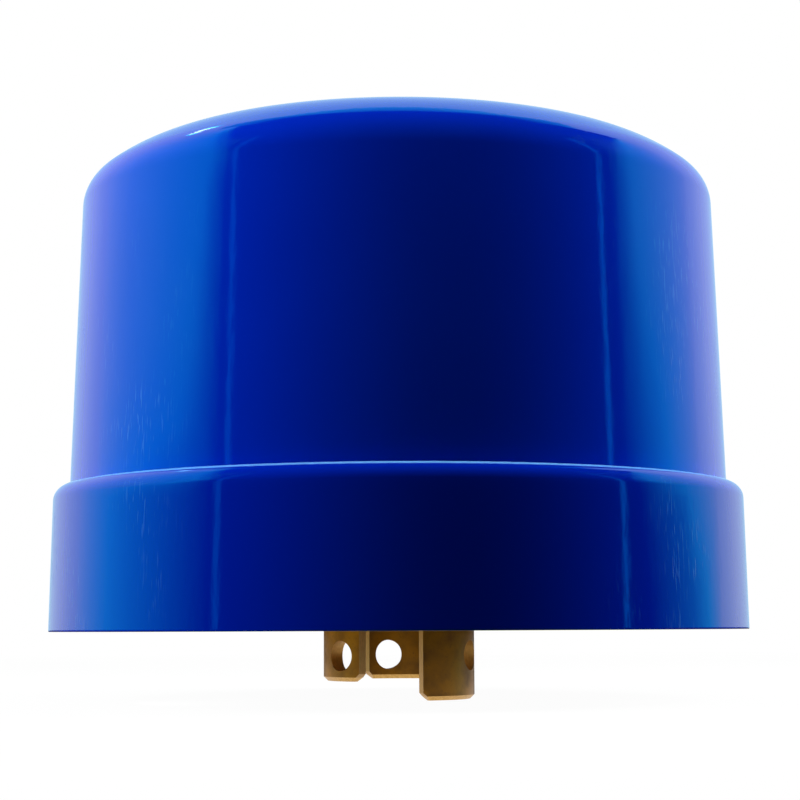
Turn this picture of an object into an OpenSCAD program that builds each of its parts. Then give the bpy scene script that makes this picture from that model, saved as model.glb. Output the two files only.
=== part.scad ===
// Plug-in photocell switch for outdoor lighting: a stepped moulded cover over a base that carries
// three hooked twist-lock blades, with the light sensor and its switching circuit sealed inside.
// The origin is on the plug axis in the plane of the skirt's open rim. +Z rises to the crown, the
// blades hang below the rim, and the sensor window looks along +Y. All sizes are in millimetres.

/* [Cover] */
// Diameter of the skirt at its open rim
rim_d = 84; // [80:0.5:92]
// Height of the skirt from the rim to the step
skirt_h = 17.3; // [15:0.1:22]
// Draft angle of the skirt wall
skirt_draft = 1.2; // [0.5:0.1:2.5]
// Radius on the skirt's top edge
skirt_edge_r = 1.9; // [0.4:0.1:2.1]
// Width of the step between the skirt and the cap
step_w = 1.95; // [1.7:0.05:3]
// Draft angle of the cap wall
cap_draft = 1.8; // [0.5:0.05:2.5]
// Height of the crown above the rim
crown_z = 59; // [54:0.5:72]
// Radius of the crown's turned-down margin
crown_r = 20; // [14:0.5:26]
// Angle the margin turns down before it meets the shoulder
crown_turn = 37.5; // [25:0.5:50]
// Radius of the shoulder between the margin and the wall
shoulder_r = 4.8; // [4:0.1:8]
// Wall thickness of the moulded cover
wall_t = 2.2; // [1.8:0.1:2.8]

/* [Cover bosses] */
// Diameter of each screw boss inside the cover
boss_d = 7; // [6:0.2:8]
// Height of the bosses above the base
boss_h = 22; // [16:0.5:28]
// Height of the gusset that joins each boss to the cap wall
gusset_h = 14; // [8:0.5:18]
// Thickness of the gussets
gusset_t = 2.4; // [1.6:0.1:3.2]
// Running gap between a boss and the base's upstand
boss_gap = 0.4; // [0.3:0.1:0.8]

/* [Sensor window] */
// Width of the window opening
window_w = 16; // [12:0.5:20]
// Height of the window opening
window_h = 13; // [10:0.5:16]
// Corner radius of the window opening
window_corner_r = 3; // [2:0.2:4.5]
// Height of the window centre above the rim
window_z = 37; // [34:0.5:40]
// Clearance round the lens in its opening
window_gap = 0.1; // [0.05:0.05:0.3]
// Depth of the lens face below the cover's surface
window_recess = 0.25; // [0.1:0.05:0.6]
// Width of the lens flange behind the cover wall
window_flange_w = 1.8; // [1:0.1:2.5]
// Thickness of the lens flange
window_flange_t = 1.2; // [0.8:0.1:1.6]

/* [Base] */
// Depth of the base's underside inside the rim
base_recess = 4; // [3.4:0.1:4.6]
// Thickness of the base plate
base_t = 3.2; // [2.8:0.1:4]
// Thickness of the upstand that meets the cover's step
base_rim_t = 2; // [1.6:0.1:2.6]
// Clearance between the base and the skirt wall
base_gap = 0.2; // [0.1:0.05:0.4]
// Diameter of the hub that holds the blades
hub_d = 28; // [25:0.5:31]
// Depth of the hub face inside the rim
hub_recess = 2.8; // [2.4:0.1:3.2]
// Height of the hub above the base plate
hub_rise = 1.8; // [1.2:0.1:2.4]

/* [Gasket] */
// Inner diameter of the foam gasket
gasket_in_d = 34; // [32:0.5:38]
// Outer diameter of the foam gasket
gasket_out_d = 58; // [48:0.5:59]
// Thickness of the foam gasket
gasket_t = 3.4; // [2:0.1:3.4]

/* [Blades] */
// Outer diameter of the blade circle
blade_circle_d = 18.26; // [17:0.1:20]
// Thickness of the blade metal
blade_t = 1.5; // [1.2:0.1:1.8]
// Reach of the line and load blades below the rim
blade_reach = 6; // [5:0.1:7]
// Reach of the neutral blade below the rim
neutral_reach = 8.2; // [7:0.1:9.5]
// Angle from a detent hole to the leading end of a line or load hook
hook_span = 41; // [36:1:44]
// Angle from the detent hole to the leading end of the neutral hook
neutral_span = 52; // [48:1:58]
// Half angle of the blade neck about its detent hole
neck_half = 19; // [16:1:22]
// Angle of the neutral blade's detent hole about the plug axis
neutral_angle = -20; // [-26:1:-14]
// Diameter of the detent holes
detent_d = 3.6; // [3:0.1:4]
// Depth of the detent holes' centres below the rim
detent_z = 3; // [2.6:0.1:3.2]
// Gap between the hook's upper edge and the hub face
lock_gap = 2.5; // [2.2:0.1:2.8]
// Bevel along the blade tips
tip_bevel = 0.5; // [0.2:0.1:0.6]
// Chamfer on the blade tips' corners
tip_chamfer = 0.9; // [0.4:0.1:1.4]
// Height of the shoulder that seats on the hub
blade_shoulder_h = 2; // [1.5:0.1:2.4]
// Clearance of the blades in the moulded hub
blade_gap = 0.05; // [0.02:0.01:0.1]

/* [Cover screws] */
// Diameter of the screw shanks
screw_d = 3; // [2.6:0.1:3.2]
// Length of the screws under the head
screw_l = 11; // [8:0.5:13]
// Diameter of the screw heads
screw_head_d = 5.6; // [5:0.1:6]
// Thickness of the screw heads
screw_head_t = 1.6; // [1.2:0.1:1.8]
// Depth of the screw heads below the base's underside
screw_head_sink = 0.2; // [0.1:0.1:0.6]
// Width of the cross recess in the screw heads
screw_cross_w = 0.8; // [0.6:0.1:1]
// Length of the cross recess in the screw heads
screw_cross_l = 3.4; // [2.6:0.1:4]

/* [Circuit board] */
// Thickness of the circuit board
board_t = 1.6; // [1.2:0.2:2]
// Height of the board posts above the base plate
post_h = 6; // [5:0.2:6.6]
// Diameter of the board posts
post_d = 6; // [5:0.2:7]
// Distance of the board posts from the board's edge
post_inset = 7.3; // [6.8:0.1:8]
// Gap between the board's edge and the cover wall
board_gap = 3; // [2.4:0.1:3.6]
// Clearance of the board's notches round the cover bosses
notch_gap = 0.8; // [0.4:0.1:1]
// Diameter of the board screws
board_screw_d = 2.4; // [2:0.1:2.6]
// Length of the board screws under the head
board_screw_l = 6; // [4:0.5:7]
// Diameter of the board screws' heads
board_head_d = 4.8; // [4:0.1:5]
// Thickness of the board screws' heads
board_head_t = 1.4; // [1:0.1:1.6]
// Clearance round leads and tails in the board
lead_gap = 0.15; // [0.1:0.05:0.2]

/* [Light sensor] */
// Diameter of the photocell
cell_d = 12; // [10:0.2:13]
// Thickness of the photocell
cell_t = 2.6; // [2:0.1:3.2]
// Gap between the sensor cup and the lens flange
cell_gap = 1.5; // [1:0.1:2]
// Wall thickness of the sensor cup
cup_wall = 1.2; // [0.9:0.1:1.6]
// Width of the pillar under the cup
stalk_w = 6; // [5:0.2:7]
// Depth of the pillar under the cup
stalk_t = 4; // [3:0.1:4.8]
// Width of the pillar's foot on the board
foot_w = 12; // [9:0.5:14]
// Thickness of the pillar's foot
foot_t = 1.6; // [1.2:0.1:2]
// Reach of the foot behind the cup
foot_heel = 0.6; // [0.4:0.1:1]
// Distance of the foot from the board's edge
foot_edge = 2; // [1.5:0.1:3]
// Distance between the photocell's two wires
cell_wire_pitch = 4; // [3:0.2:4.6]

/* [Circuit parts] */
// Gap between neighbouring parts on the board
part_gap = 0.8; // [0.6:0.1:0.9]
// Width of the relay
relay_w = 15.4; // [14:0.1:15.6]
// Length of the relay
relay_l = 19; // [17:0.1:19.2]
// Height of the relay
relay_h = 15.6; // [13:0.1:17]
// Distance of the relay's pins from its ends
relay_pin_inset = 2; // [1.5:0.1:3]
// Distance between the relay's coil pins
coil_pitch = 10; // [8:0.5:12]
// Distance between the relay's contact pins
contact_pitch = 6; // [5:0.2:6.4]
// Thickness of the film capacitor
film_t = 8.5; // [7:0.1:9]
// Length of the film capacitor
film_l = 18; // [16:0.5:18]
// Height of the film capacitor
film_h = 14.5; // [12:0.5:16]
// Distance between the film capacitor's leads
film_pitch = 15; // [12.5:0.5:15]
// Distance of the film capacitor's middle from the plug axis, towards the window
film_y = 4; // [3:0.2:5]
// Diameter of the varistor disc
varistor_d = 14; // [12:0.5:15]
// Thickness of the varistor disc
varistor_t = 4.6; // [4:0.1:5]
// Radius round the varistor's edge
varistor_edge_r = 1.4; // [0.8:0.1:1.8]
// Distance between the varistor's leads
varistor_pitch = 7.5; // [5:0.5:7.5]
// Distance of the varistor's middle from the plug axis, towards the window
varistor_y = 9; // [8:0.2:11]
// Diameter of the smoothing capacitor
smoothing_d = 10; // [8:0.5:11]
// Height of the smoothing capacitor
smoothing_h = 16; // [12:0.5:20]
// Distance between the smoothing capacitor's leads
smoothing_pitch = 5; // [3.5:0.5:5]
// Diameter of the timing capacitor
timing_d = 6.3; // [5:0.1:7]
// Height of the timing capacitor
timing_h = 11; // [7:0.5:14]
// Distance between the timing capacitor's leads
timing_pitch = 2.5; // [2:0.1:3]
// Height of the crimped groove on the capacitor cans
groove_z = 2.4; // [2:0.1:3]
// Radius of the crimped groove
groove_r = 0.8; // [0.4:0.1:1]
// Depth of the crimped groove
groove_depth = 0.4; // [0.2:0.1:0.4]
// Diameter of the diode bodies
diode_d = 2.7; // [2:0.1:3]
// Length of the diode bodies
diode_l = 5.2; // [4.2:0.1:6]
// Broken edge on the ends of diodes and resistors
edge_break = 0.3; // [0.2:0.05:0.4]
// Distance between the leads of diodes and bias resistors
axial_pitch = 10; // [9:0.5:10]
// Diameter of the power resistor
power_d = 4.4; // [3.6:0.1:4.6]
// Length of the power resistor
power_l = 11.5; // [9:0.5:12.5]
// Distance between the power resistor's leads
power_pitch = 15.5; // [14:0.5:16]
// Length of the power resistor's fuller ends
power_end_l = 3; // [2:0.1:3.5]
// Diameter of the bias resistors
bias_d = 2.3; // [1.8:0.1:2.5]
// Length of the bias resistors
bias_l = 6.3; // [5:0.1:7]
// Length of the bias resistors' fuller ends
bias_end_l = 1.6; // [1.2:0.1:2]
// Depth of the waist between a resistor's ends
waist_depth = 0.2; // [0.1:0.05:0.3]
// Diameter of the transistor body
transistor_d = 4.6; // [4:0.1:5]
// Distance of the transistor's flat from its centre
transistor_flat = 1.2; // [1:0.1:1.6]
// Height of the transistor body
transistor_h = 4.8; // [4:0.1:5.5]
// Height of the transistor above the board
transistor_lift = 2.5; // [1.5:0.1:4]
// Distance between the transistor's leads
transistor_pitch = 1.6; // [1.4:0.1:1.8]
// Diameter of the component leads
lead_d = 0.7; // [0.5:0.05:0.8]
// Length of lead left below the board
lead_tail = 1.4; // [1:0.1:1.8]
// Height of the parts' bodies above the board
part_lift = 0.3; // [0.1:0.1:0.5]

/* [Hidden] */
$fn = 96;
eps = 0.01;

// Cover radii and heights
rim_r = rim_d / 2;
function skirt_r(z, inset = 0) = rim_r - inset - z * tan(skirt_draft);
cap_base_r = skirt_r(skirt_h) - step_w;
function cap_r(z, inset = 0) = cap_base_r - inset - (z - skirt_h) * tan(cap_draft);
ledge_z = skirt_h - wall_t;
least_round_r = 0.5;

// Base and hub
base_r = skirt_r(ledge_z, wall_t) - base_gap;
base_top = base_recess + base_t;
hub_top = base_top + hub_rise;
base_rim_in_r = base_r - base_rim_t;

// Screw bosses stand at three even places, between the three board posts
boss_r = base_rim_in_r - boss_gap - boss_d / 2;
boss_angles = [0, 120, 240];
post_angles = [60, 180, 300];
boss_top = base_top + boss_h;
thread_gap = 0.05;
counterbore_gap = 0.3;
counterbore_t = screw_head_t + screw_head_sink;
pilot_end = 1.5;

// Board levels
board_z = base_top + post_h;
board_top = board_z + board_t;
board_r = cap_r(board_z, wall_t) - board_gap;
post_r = board_r - post_inset;

// Blades
blade_r = blade_circle_d / 2;
blade_in_r = blade_r - blade_t;
hook_top = hub_recess - lock_gap;
shoulder_extra = 5;
tail_half = 6;
tail_rise = 1.5;
tail_top = board_top + tail_rise;
blade_pitch = 120;
line_angle = neutral_angle + blade_pitch;
load_angle = neutral_angle - blade_pitch;
blade_angles = [neutral_angle, line_angle, load_angle];
solder_h = 1.2;
solder_low_r = 2.3;
solder_top_r = 1.5;

// Light sensor
cup_front = cap_r(window_z, wall_t + window_flange_t) - cell_gap;
cup_r = cell_d / 2 + cup_wall;
cup_depth = cell_t + 2 * cup_wall;
cup_back = cup_front - cup_depth;
cell_fit = 0.1;
cell_back = cup_back + cup_wall;
foot_back = cup_back - foot_heel;
foot_front = board_r - foot_edge;
cell_lead_y = foot_back - lead_d / 2 - part_gap;
cell_leads = [for (side = [-1, 1]) [side * cell_wire_pitch / 2, cell_lead_y]];

// Places of the circuit parts, each set off from its neighbour, starting at the blades' solder
solder_at = [for (a = blade_angles) (blade_r - blade_t / 2) * [cos(a), sin(a)]];
bias_x = solder_at[0][0] + solder_low_r + part_gap + bias_d / 2;
film_x = bias_x + bias_d / 2 + part_gap + film_t / 2;
film_at = [film_x, film_y];
power_at = [
    film_x - film_t / 2 - part_gap - power_d / 2,
    solder_at[0][1] + solder_low_r + part_gap + power_l / 2
];
bias_y = power_at[1] - power_pitch / 2 - lead_d - part_gap - axial_pitch / 2;
bias_at = [
    [bias_x, bias_y],
    [-bias_x, bias_y],
    [film_x + film_t / 2 + part_gap + bias_d / 2, film_at[1] + (film_l - axial_pitch) / 2]
];
diode_y = solder_at[1][1] + solder_low_r + part_gap + axial_pitch / 2;
freewheel_x = power_at[0] - power_d / 2 - part_gap - diode_d / 2;
diode_step = diode_d + part_gap;
zener_x = freewheel_x - diode_step;
bridge_x = [for (i = [1:4]) zener_x - i * diode_step];
varistor_at = [min(bridge_x) - diode_d / 2 - 2 * part_gap - varistor_t / 2, varistor_y];
smoothing_at = [-bias_x - bias_d / 2 - part_gap - smoothing_d / 2, bias_y];
transistor_at = [film_x, film_at[1] - film_l / 2 - part_gap - transistor_flat];
timing_at = [film_x, transistor_at[1] - transistor_d / 2 - part_gap - timing_d / 2];
relay_at = [0, solder_at[2][1] - solder_low_r - part_gap - relay_l / 2];
relay_pin_y = relay_l / 2 - relay_pin_inset;
relay_pins = concat(
    [for (side = [-1, 1]) relay_at + [side * coil_pitch / 2, -relay_pin_y]],
    [for (side = [-1:1]) relay_at + [side * contact_pitch, relay_pin_y]]
);

// Two leads a pitch apart along Y, about a point
function pair(at, pitch) = [for (side = [-1, 1]) [at[0], at[1] + side * pitch / 2]];
// Leads a pitch apart along X, about a point
function row(at, pitch, count) =
    [for (i = [0:count - 1]) [at[0] + (i - (count - 1) / 2) * pitch, at[1]]];
diode_places = [for (x = concat(bridge_x, [zener_x, freewheel_x])) [x, diode_y]];
lead_places = concat(
    [for (at = diode_places) each pair(at, axial_pitch)],
    [for (at = bias_at) each pair(at, axial_pitch)],
    pair(power_at, power_pitch),
    pair(film_at, film_pitch),
    pair(varistor_at, varistor_pitch),
    row(smoothing_at, smoothing_pitch, 2),
    row(timing_at, timing_pitch, 2),
    row(transistor_at, transistor_pitch, 3),
    relay_pins,
    cell_leads
);

// Half section of the skirt: a drafted wall with a rounded top edge
module skirt_section() {
    edge_r = min(skirt_edge_r, step_w);
    edge_z = skirt_h - edge_r;
    edge_c = [skirt_r(edge_z) - edge_r / cos(skirt_draft), edge_z];
    wall_end = edge_c + edge_r * [cos(skirt_draft), sin(skirt_draft)];
    polygon([[0, 0], [rim_r, 0], wall_end, edge_c, [edge_c[0], skirt_h], [0, skirt_h]]);
    translate(edge_c) circle(r = edge_r);
}

// Half section of the cap, or of the space inside it when inset by the wall: a drafted wall,
// a tight shoulder arc, a wide margin arc and a flat crown, each tangent to the next
module cap_section(z_low, inset = 0) {
    top_z = crown_z - inset;
    margin_r = crown_r - inset;
    round_r = max(shoulder_r - inset, least_round_r);
    turned = [sin(crown_turn), cos(crown_turn)];
    round_z = top_z - margin_r + (margin_r - round_r) * turned[1];
    round_c = [cap_r(round_z, inset) - round_r / cos(cap_draft), round_z];
    margin_c = round_c - (margin_r - round_r) * turned;
    wall_end = round_c + round_r * [cos(cap_draft), sin(cap_draft)];
    polygon([
        [0, z_low],
        [cap_r(z_low, inset), z_low],
        wall_end,
        round_c,
        [margin_c[0], top_z],
        [0, top_z]
    ]);
    translate(round_c) circle(r = round_r);
    intersection() {
        translate(margin_c) circle(r = margin_r);
        polygon([margin_c, margin_c + crown_z * turned, margin_c + [0, crown_z]]);
    }
}

// Layer of the cap wall between two depths below its outer surface
module cap_layer(depth_out, depth_in) {
    rotate_extrude() difference() {
        cap_section(skirt_h, depth_out);
        cap_section(skirt_h - eps, depth_in);
    }
}

// Rounded rectangle about the origin
module rounded_rect(w, h, r) {
    square([w - 2 * r, h], center = true);
    square([w, h - 2 * r], center = true);
    for (x = [-1, 1], y = [-1, 1]) {
        translate([x * (w / 2 - r), y * (h / 2 - r)]) circle(r = r);
    }
}

// Prism through the cover wall at the sensor window, grown by a margin on every side
module window_prism(margin) {
    translate([0, 0, window_z]) rotate([-90, 0, 0]) linear_extrude(rim_r)
        rounded_rect(window_w + 2 * margin, window_h + 2 * margin, window_corner_r + margin);
}

// Copies its children at a radius, turned to each angle
module at_angles(radius, angles) {
    for (a = angles) rotate([0, 0, a]) translate([radius, 0, 0]) children();
}

// Boss with a gusset that runs out to the cap wall
module cover_boss() {
    gusset_low = boss_top - gusset_h;
    wall_reach = cap_r(boss_top) - wall_t / 2 - boss_r;
    translate([0, 0, base_top]) cylinder(d = boss_d, h = boss_h);
    translate([0, gusset_t / 2, 0]) rotate([90, 0, 0]) linear_extrude(gusset_t)
        polygon([
            [0, gusset_low],
            [wall_reach, gusset_low],
            [wall_reach, boss_top + boss_d],
            [0, boss_top]
        ]);
}

module cover() {
    color("mediumblue") difference() {
        union() {
            rotate_extrude() difference() {
                union() {
                    skirt_section();
                    cap_section(skirt_h - wall_t);
                }
                polygon([
                    [0, -eps],
                    [skirt_r(-eps, wall_t), -eps],
                    [skirt_r(ledge_z, wall_t), ledge_z],
                    [0, ledge_z]
                ]);
                cap_section(ledge_z - eps, wall_t);
            }
            at_angles(boss_r, boss_angles) cover_boss();
        }
        at_angles(boss_r, boss_angles) translate([0, 0, base_top - eps])
            cylinder(d = screw_d + 2 * thread_gap, h = screw_l + pilot_end);
        window_prism(0);
    }
}

// Clear lens: a plug in the opening and a flange behind the wall
module window() {
    color("whitesmoke") union() {
        intersection() {
            cap_layer(window_recess, wall_t + window_flange_t);
            window_prism(-window_gap);
        }
        intersection() {
            cap_layer(wall_t, wall_t + window_flange_t);
            window_prism(window_flange_w);
        }
    }
}

// Sector of a ring standing on a level, between two angles
module ring_sector(r_in, r_out, z_low, z_high, from, to) {
    rotate([0, 0, from]) rotate_extrude(angle = to - from)
        translate([r_in, z_low]) square([r_out - r_in, z_high - z_low]);
}

module base() {
    color("dimgray") difference() {
        union() {
            rotate_extrude() {
                translate([0, base_recess]) square([base_r, base_t]);
                translate([base_rim_in_r, base_recess])
                    square([base_rim_t, ledge_z - base_recess]);
                translate([0, hub_recess]) square([hub_d / 2, hub_top - hub_recess]);
            }
            at_angles(post_r, post_angles) translate([0, 0, base_top - eps])
                cylinder(d = post_d, h = post_h + eps);
        }
        for (a = blade_angles) {
            slack = blade_gap / blade_in_r * 180 / PI;
            ring_sector(blade_in_r - blade_gap, blade_r + blade_gap, hub_recess - eps,
                hub_top + eps, a - neck_half - slack, a + neck_half + slack);
        }
        at_angles(boss_r, boss_angles) {
            translate([0, 0, base_recess - eps])
                cylinder(d = screw_head_d + 2 * counterbore_gap, h = counterbore_t + eps);
            translate([0, 0, base_recess])
                cylinder(d = screw_d + 2 * counterbore_gap, h = base_t + eps);
        }
        at_angles(post_r, post_angles)
            translate([0, 0, board_z - board_screw_l + board_t - pilot_end / 2])
                cylinder(d = board_screw_d + 2 * thread_gap, h = board_screw_l + pilot_end);
    }
}

module gasket() {
    color("darkslategray") translate([0, 0, base_recess - gasket_t]) difference() {
        cylinder(d = gasket_out_d, h = gasket_t);
        translate([0, 0, -eps]) cylinder(d = gasket_in_d, h = gasket_t + 2 * eps);
    }
}

// Sector of a disc between two angles, standing on a level
module wedge(from, to, z_low, z_high) {
    far = 3 * blade_r;
    middle = (from + to) / 2;
    translate([0, 0, z_low]) linear_extrude(z_high - z_low) polygon([
        [0, 0],
        far * [cos(from), sin(from)],
        far * [cos(middle), sin(middle)],
        far * [cos(to), sin(to)]
    ]);
}

// Block that takes off one lower corner of a blade tip, at the angle and side of that end
module tip_corner_cut(angle, side, reach) {
    block = 4 * tip_chamfer;
    rotate([0, 0, angle]) translate([0, 0, -reach]) rotate([side * 45, 0, 0])
        translate([0, -block / 2, tip_chamfer / sqrt(2) - block]) cube([2 * blade_r, block, block]);
}

// Curved blade, cut from a ring with a bevelled lower edge: a hook below the rim, a neck through
// the hub, a shoulder that seats on the hub and a tail up to the circuit board
module blade(angle, span, reach) {
    shoulder_half = neck_half + shoulder_extra;
    shoulder_top = hub_top + blade_shoulder_h;
    color("darkgoldenrod") rotate([0, 0, angle]) difference() {
        intersection() {
            rotate([0, 0, 180]) rotate_extrude() polygon([
                [blade_in_r, tail_top],
                [blade_in_r, tip_bevel - reach],
                [blade_in_r + tip_bevel, -reach],
                [blade_r - tip_bevel, -reach],
                [blade_r, tip_bevel - reach],
                [blade_r, tail_top]
            ]);
            union() {
                wedge(-span, neck_half, -2 * reach, hook_top);
                wedge(-neck_half, neck_half, hook_top, hub_top);
                wedge(-shoulder_half, shoulder_half, hub_top, shoulder_top);
                wedge(-tail_half, tail_half, shoulder_top, 2 * tail_top);
            }
        }
        translate([0, 0, -detent_z]) rotate([0, 90, 0]) cylinder(d = detent_d, h = 2 * blade_r);
        tip_corner_cut(-span, -1, reach);
        tip_corner_cut(neck_half, 1, reach);
    }
}

// Upright tail of a blade, grown by a margin for the slot that it passes
module tail(angle, z_low, margin) {
    half = tail_half + margin / blade_in_r * 180 / PI;
    ring_sector(blade_in_r - margin, blade_r + margin, z_low, tail_top + margin,
        angle - half, angle + half);
}

module neutral_blade() {
    blade(neutral_angle, neutral_span, neutral_reach);
}

module line_blade() {
    blade(line_angle, hook_span, blade_reach);
}

module load_blade() {
    blade(load_angle, hook_span, blade_reach);
}

// Pan-head screw that points up from its seat, with a cross recess
module screw(d, l, head_d, head_t) {
    cross_t = head_t / 2;
    translate([0, 0, -cross_t / 2]) cylinder(d = d, h = l + cross_t / 2);
    difference() {
        translate([0, 0, -head_t]) cylinder(d = head_d, h = head_t);
        for (turn = [0, 90]) rotate([0, 0, turn])
            translate([-screw_cross_l / 2, -screw_cross_w / 2, -head_t - eps])
                cube([screw_cross_l, screw_cross_w, cross_t]);
    }
}

module cover_screws() {
    color("silver") at_angles(boss_r, boss_angles)
        translate([0, 0, base_recess + counterbore_t])
            screw(screw_d, screw_l, screw_head_d, screw_head_t);
}

module circuit_board() {
    color("darkgreen") difference() {
        translate([0, 0, board_z]) cylinder(r = board_r, h = board_t);
        translate([0, 0, board_z - eps]) {
            at_angles(boss_r, boss_angles)
                cylinder(r = boss_d / 2 + notch_gap, h = board_t + 2 * eps);
            at_angles(post_r, post_angles)
                cylinder(d = board_screw_d + 2 * lead_gap, h = board_t + 2 * eps);
            for (at = lead_places) translate(at)
                cylinder(d = lead_d + 2 * lead_gap, h = board_t + 2 * eps);
        }
        for (a = blade_angles) tail(a, board_z - eps, lead_gap);
    }
}

module board_screws() {
    color("silver") at_angles(post_r, post_angles) translate([0, 0, board_top])
        rotate([180, 0, 0]) screw(board_screw_d, board_screw_l, board_head_d, board_head_t);
}

// Solder cone round each blade tail on top of the board
module blade_solder() {
    color("lightgray") for (i = [0:len(blade_angles) - 1]) difference() {
        translate([solder_at[i][0], solder_at[i][1], board_top])
            cylinder(r1 = solder_low_r, r2 = solder_top_r, h = solder_h);
        tail(blade_angles[i], board_z, 0);
    }
}

// Straight lead from a height down through the board
module lead(at, z_high) {
    translate([at[0], at[1], board_z - lead_tail])
        cylinder(d = lead_d, h = z_high - board_z + lead_tail);
}

// Body lying along Y on the board with its two leads bent down. The child is the half section of
// the body, which turns about the lead wire
module axial(at, body_d, pitch) {
    axis_z = board_top + body_d / 2 + part_lift;
    translate([at[0], at[1], axis_z]) rotate([-90, 0, 0]) rotate_extrude() {
        children();
        translate([0, -pitch / 2]) square([lead_d / 2, pitch]);
    }
    for (end = pair(at, pitch)) {
        lead(end, axis_z);
        translate([end[0], end[1], axis_z]) sphere(d = lead_d);
    }
}

// Half section of a diode body, with its end edges broken
module diode_section() {
    polygon([
        [0, -diode_l / 2],
        [diode_d / 2 - edge_break, -diode_l / 2],
        [diode_d / 2, edge_break - diode_l / 2],
        [diode_d / 2, diode_l / 2 - edge_break],
        [diode_d / 2 - edge_break, diode_l / 2],
        [0, diode_l / 2]
    ]);
}

// Half section of a resistor body: a waist between two fuller ends
module resistor_section(d, l, end_l) {
    half = [
        [0, -l / 2],
        [d / 2 - edge_break, -l / 2],
        [d / 2, edge_break - l / 2],
        [d / 2, end_l - edge_break - l / 2],
        [d / 2 - waist_depth, end_l - l / 2]
    ];
    polygon(concat(half, [for (i = [len(half) - 1:-1:0]) [half[i][0], -half[i][1]]]));
}

// Upright can on the board with a crimped groove near its foot
module can(at, d, h, pitch) {
    translate([at[0], at[1], board_top]) difference() {
        cylinder(d = d, h = h);
        translate([0, 0, groove_z]) rotate_extrude()
            translate([d / 2 + groove_r - groove_depth, 0]) circle(r = groove_r);
    }
    for (p = row(at, pitch, 2)) lead(p, board_top + eps);
}

module relay() {
    color("royalblue") {
        translate([relay_at[0], relay_at[1], board_top + relay_h / 2])
            cube([relay_w, relay_l, relay_h], center = true);
        for (pin = relay_pins) lead(pin, board_top + eps);
    }
}

module film_capacitor() {
    color("gold") {
        translate([film_at[0], film_at[1], board_top + film_h / 2])
            cube([film_t, film_l, film_h], center = true);
        for (p = pair(film_at, film_pitch)) lead(p, board_top + eps);
    }
}

module varistor() {
    disc_z = board_top + varistor_d / 2 + part_lift;
    color("steelblue") {
        translate([varistor_at[0], varistor_at[1], disc_z]) rotate([0, 90, 0])
            rotate_extrude() {
                translate([0, -varistor_t / 2])
                    square([varistor_d / 2 - varistor_edge_r, varistor_t]);
                translate([0, varistor_edge_r - varistor_t / 2])
                    square([varistor_d / 2, varistor_t - 2 * varistor_edge_r]);
                for (side = [-1, 1]) translate([varistor_d / 2 - varistor_edge_r,
                    side * (varistor_t / 2 - varistor_edge_r)]) circle(r = varistor_edge_r);
            }
        for (p = pair(varistor_at, varistor_pitch)) lead(p, disc_z);
    }
}

module smoothing_capacitor() {
    color("midnightblue") can(smoothing_at, smoothing_d, smoothing_h, smoothing_pitch);
}

module timing_capacitor() {
    color("midnightblue") can(timing_at, timing_d, timing_h, timing_pitch);
}

module bridge_diodes() {
    color("dimgray") for (x = bridge_x) axial([x, diode_y], diode_d, axial_pitch)
        diode_section();
}

module zener_diode() {
    color("sienna") axial([zener_x, diode_y], diode_d, axial_pitch) diode_section();
}

module freewheel_diode() {
    color("dimgray") axial([freewheel_x, diode_y], diode_d, axial_pitch) diode_section();
}

// Half-round transistor body on three leads
module transistor() {
    color("black") {
        translate([transistor_at[0], transistor_at[1], board_top + transistor_lift])
            linear_extrude(transistor_h) difference() {
                circle(d = transistor_d);
                translate([-transistor_d, transistor_flat])
                    square([2 * transistor_d, transistor_d]);
            }
        for (p = row(transistor_at, transistor_pitch, 3)) lead(p, board_top + transistor_lift + eps);
    }
}

module power_resistor() {
    color("lightsteelblue") axial(power_at, power_d, power_pitch)
        resistor_section(power_d, power_l, power_end_l);
}

module bias_resistors() {
    color("wheat") for (at = bias_at) axial(at, bias_d, axial_pitch)
        resistor_section(bias_d, bias_l, bias_end_l);
}

// Disc along Y with its front face at a given depth
module disc_y(d, y_back, y_front) {
    translate([0, y_back, window_z]) rotate([-90, 0, 0]) cylinder(d = d, h = y_front - y_back);
}

module photocell() {
    color("peru") disc_y(cell_d, cell_back, cell_back + cell_t);
}

// Moulded pillar with a foot on the board and a cup that holds the photocell to the window
module photocell_holder() {
    color("dimgray") difference() {
        union() {
            disc_y(2 * cup_r, cup_back, cup_front);
            translate([-stalk_w / 2, cup_back, board_top])
                cube([stalk_w, stalk_t, window_z - board_top]);
            translate([-foot_w / 2, foot_back, board_top])
                cube([foot_w, foot_front - foot_back, foot_t]);
        }
        disc_y(cell_d + 2 * cell_fit, cell_back, cup_front + eps);
        for (p = cell_leads) translate([p[0], foot_back - eps, window_z])
            rotate([-90, 0, 0]) cylinder(d = lead_d + 2 * lead_gap, h = cup_depth);
    }
}

// Two wires from the back of the photocell, down behind the pillar and through the board
module photocell_leads() {
    color("silver") for (p = cell_leads) {
        translate([p[0], p[1], window_z]) rotate([-90, 0, 0])
            cylinder(d = lead_d, h = cell_back - p[1]);
        translate([p[0], p[1], window_z]) sphere(d = lead_d);
        lead(p, window_z);
    }
}

cover();
window();
base();
gasket();
neutral_blade();
line_blade();
load_blade();
cover_screws();
circuit_board();
board_screws();
blade_solder();
relay();
film_capacitor();
varistor();
smoothing_capacitor();
timing_capacitor();
bridge_diodes();
zener_diode();
freewheel_diode();
transistor();
power_resistor();
bias_resistors();
photocell();
photocell_holder();
photocell_leads();
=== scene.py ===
# %% [markdown]
# # A plug-in photocell switch, dressed for the studio
# The switch is a glossy blue moulded cover over a black base with three brass blades. The packed
# CAD model gives every place and size, so the script loads it first and builds the looks around
# it. Each step below has a note like this one and then a short cell of code.

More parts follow.
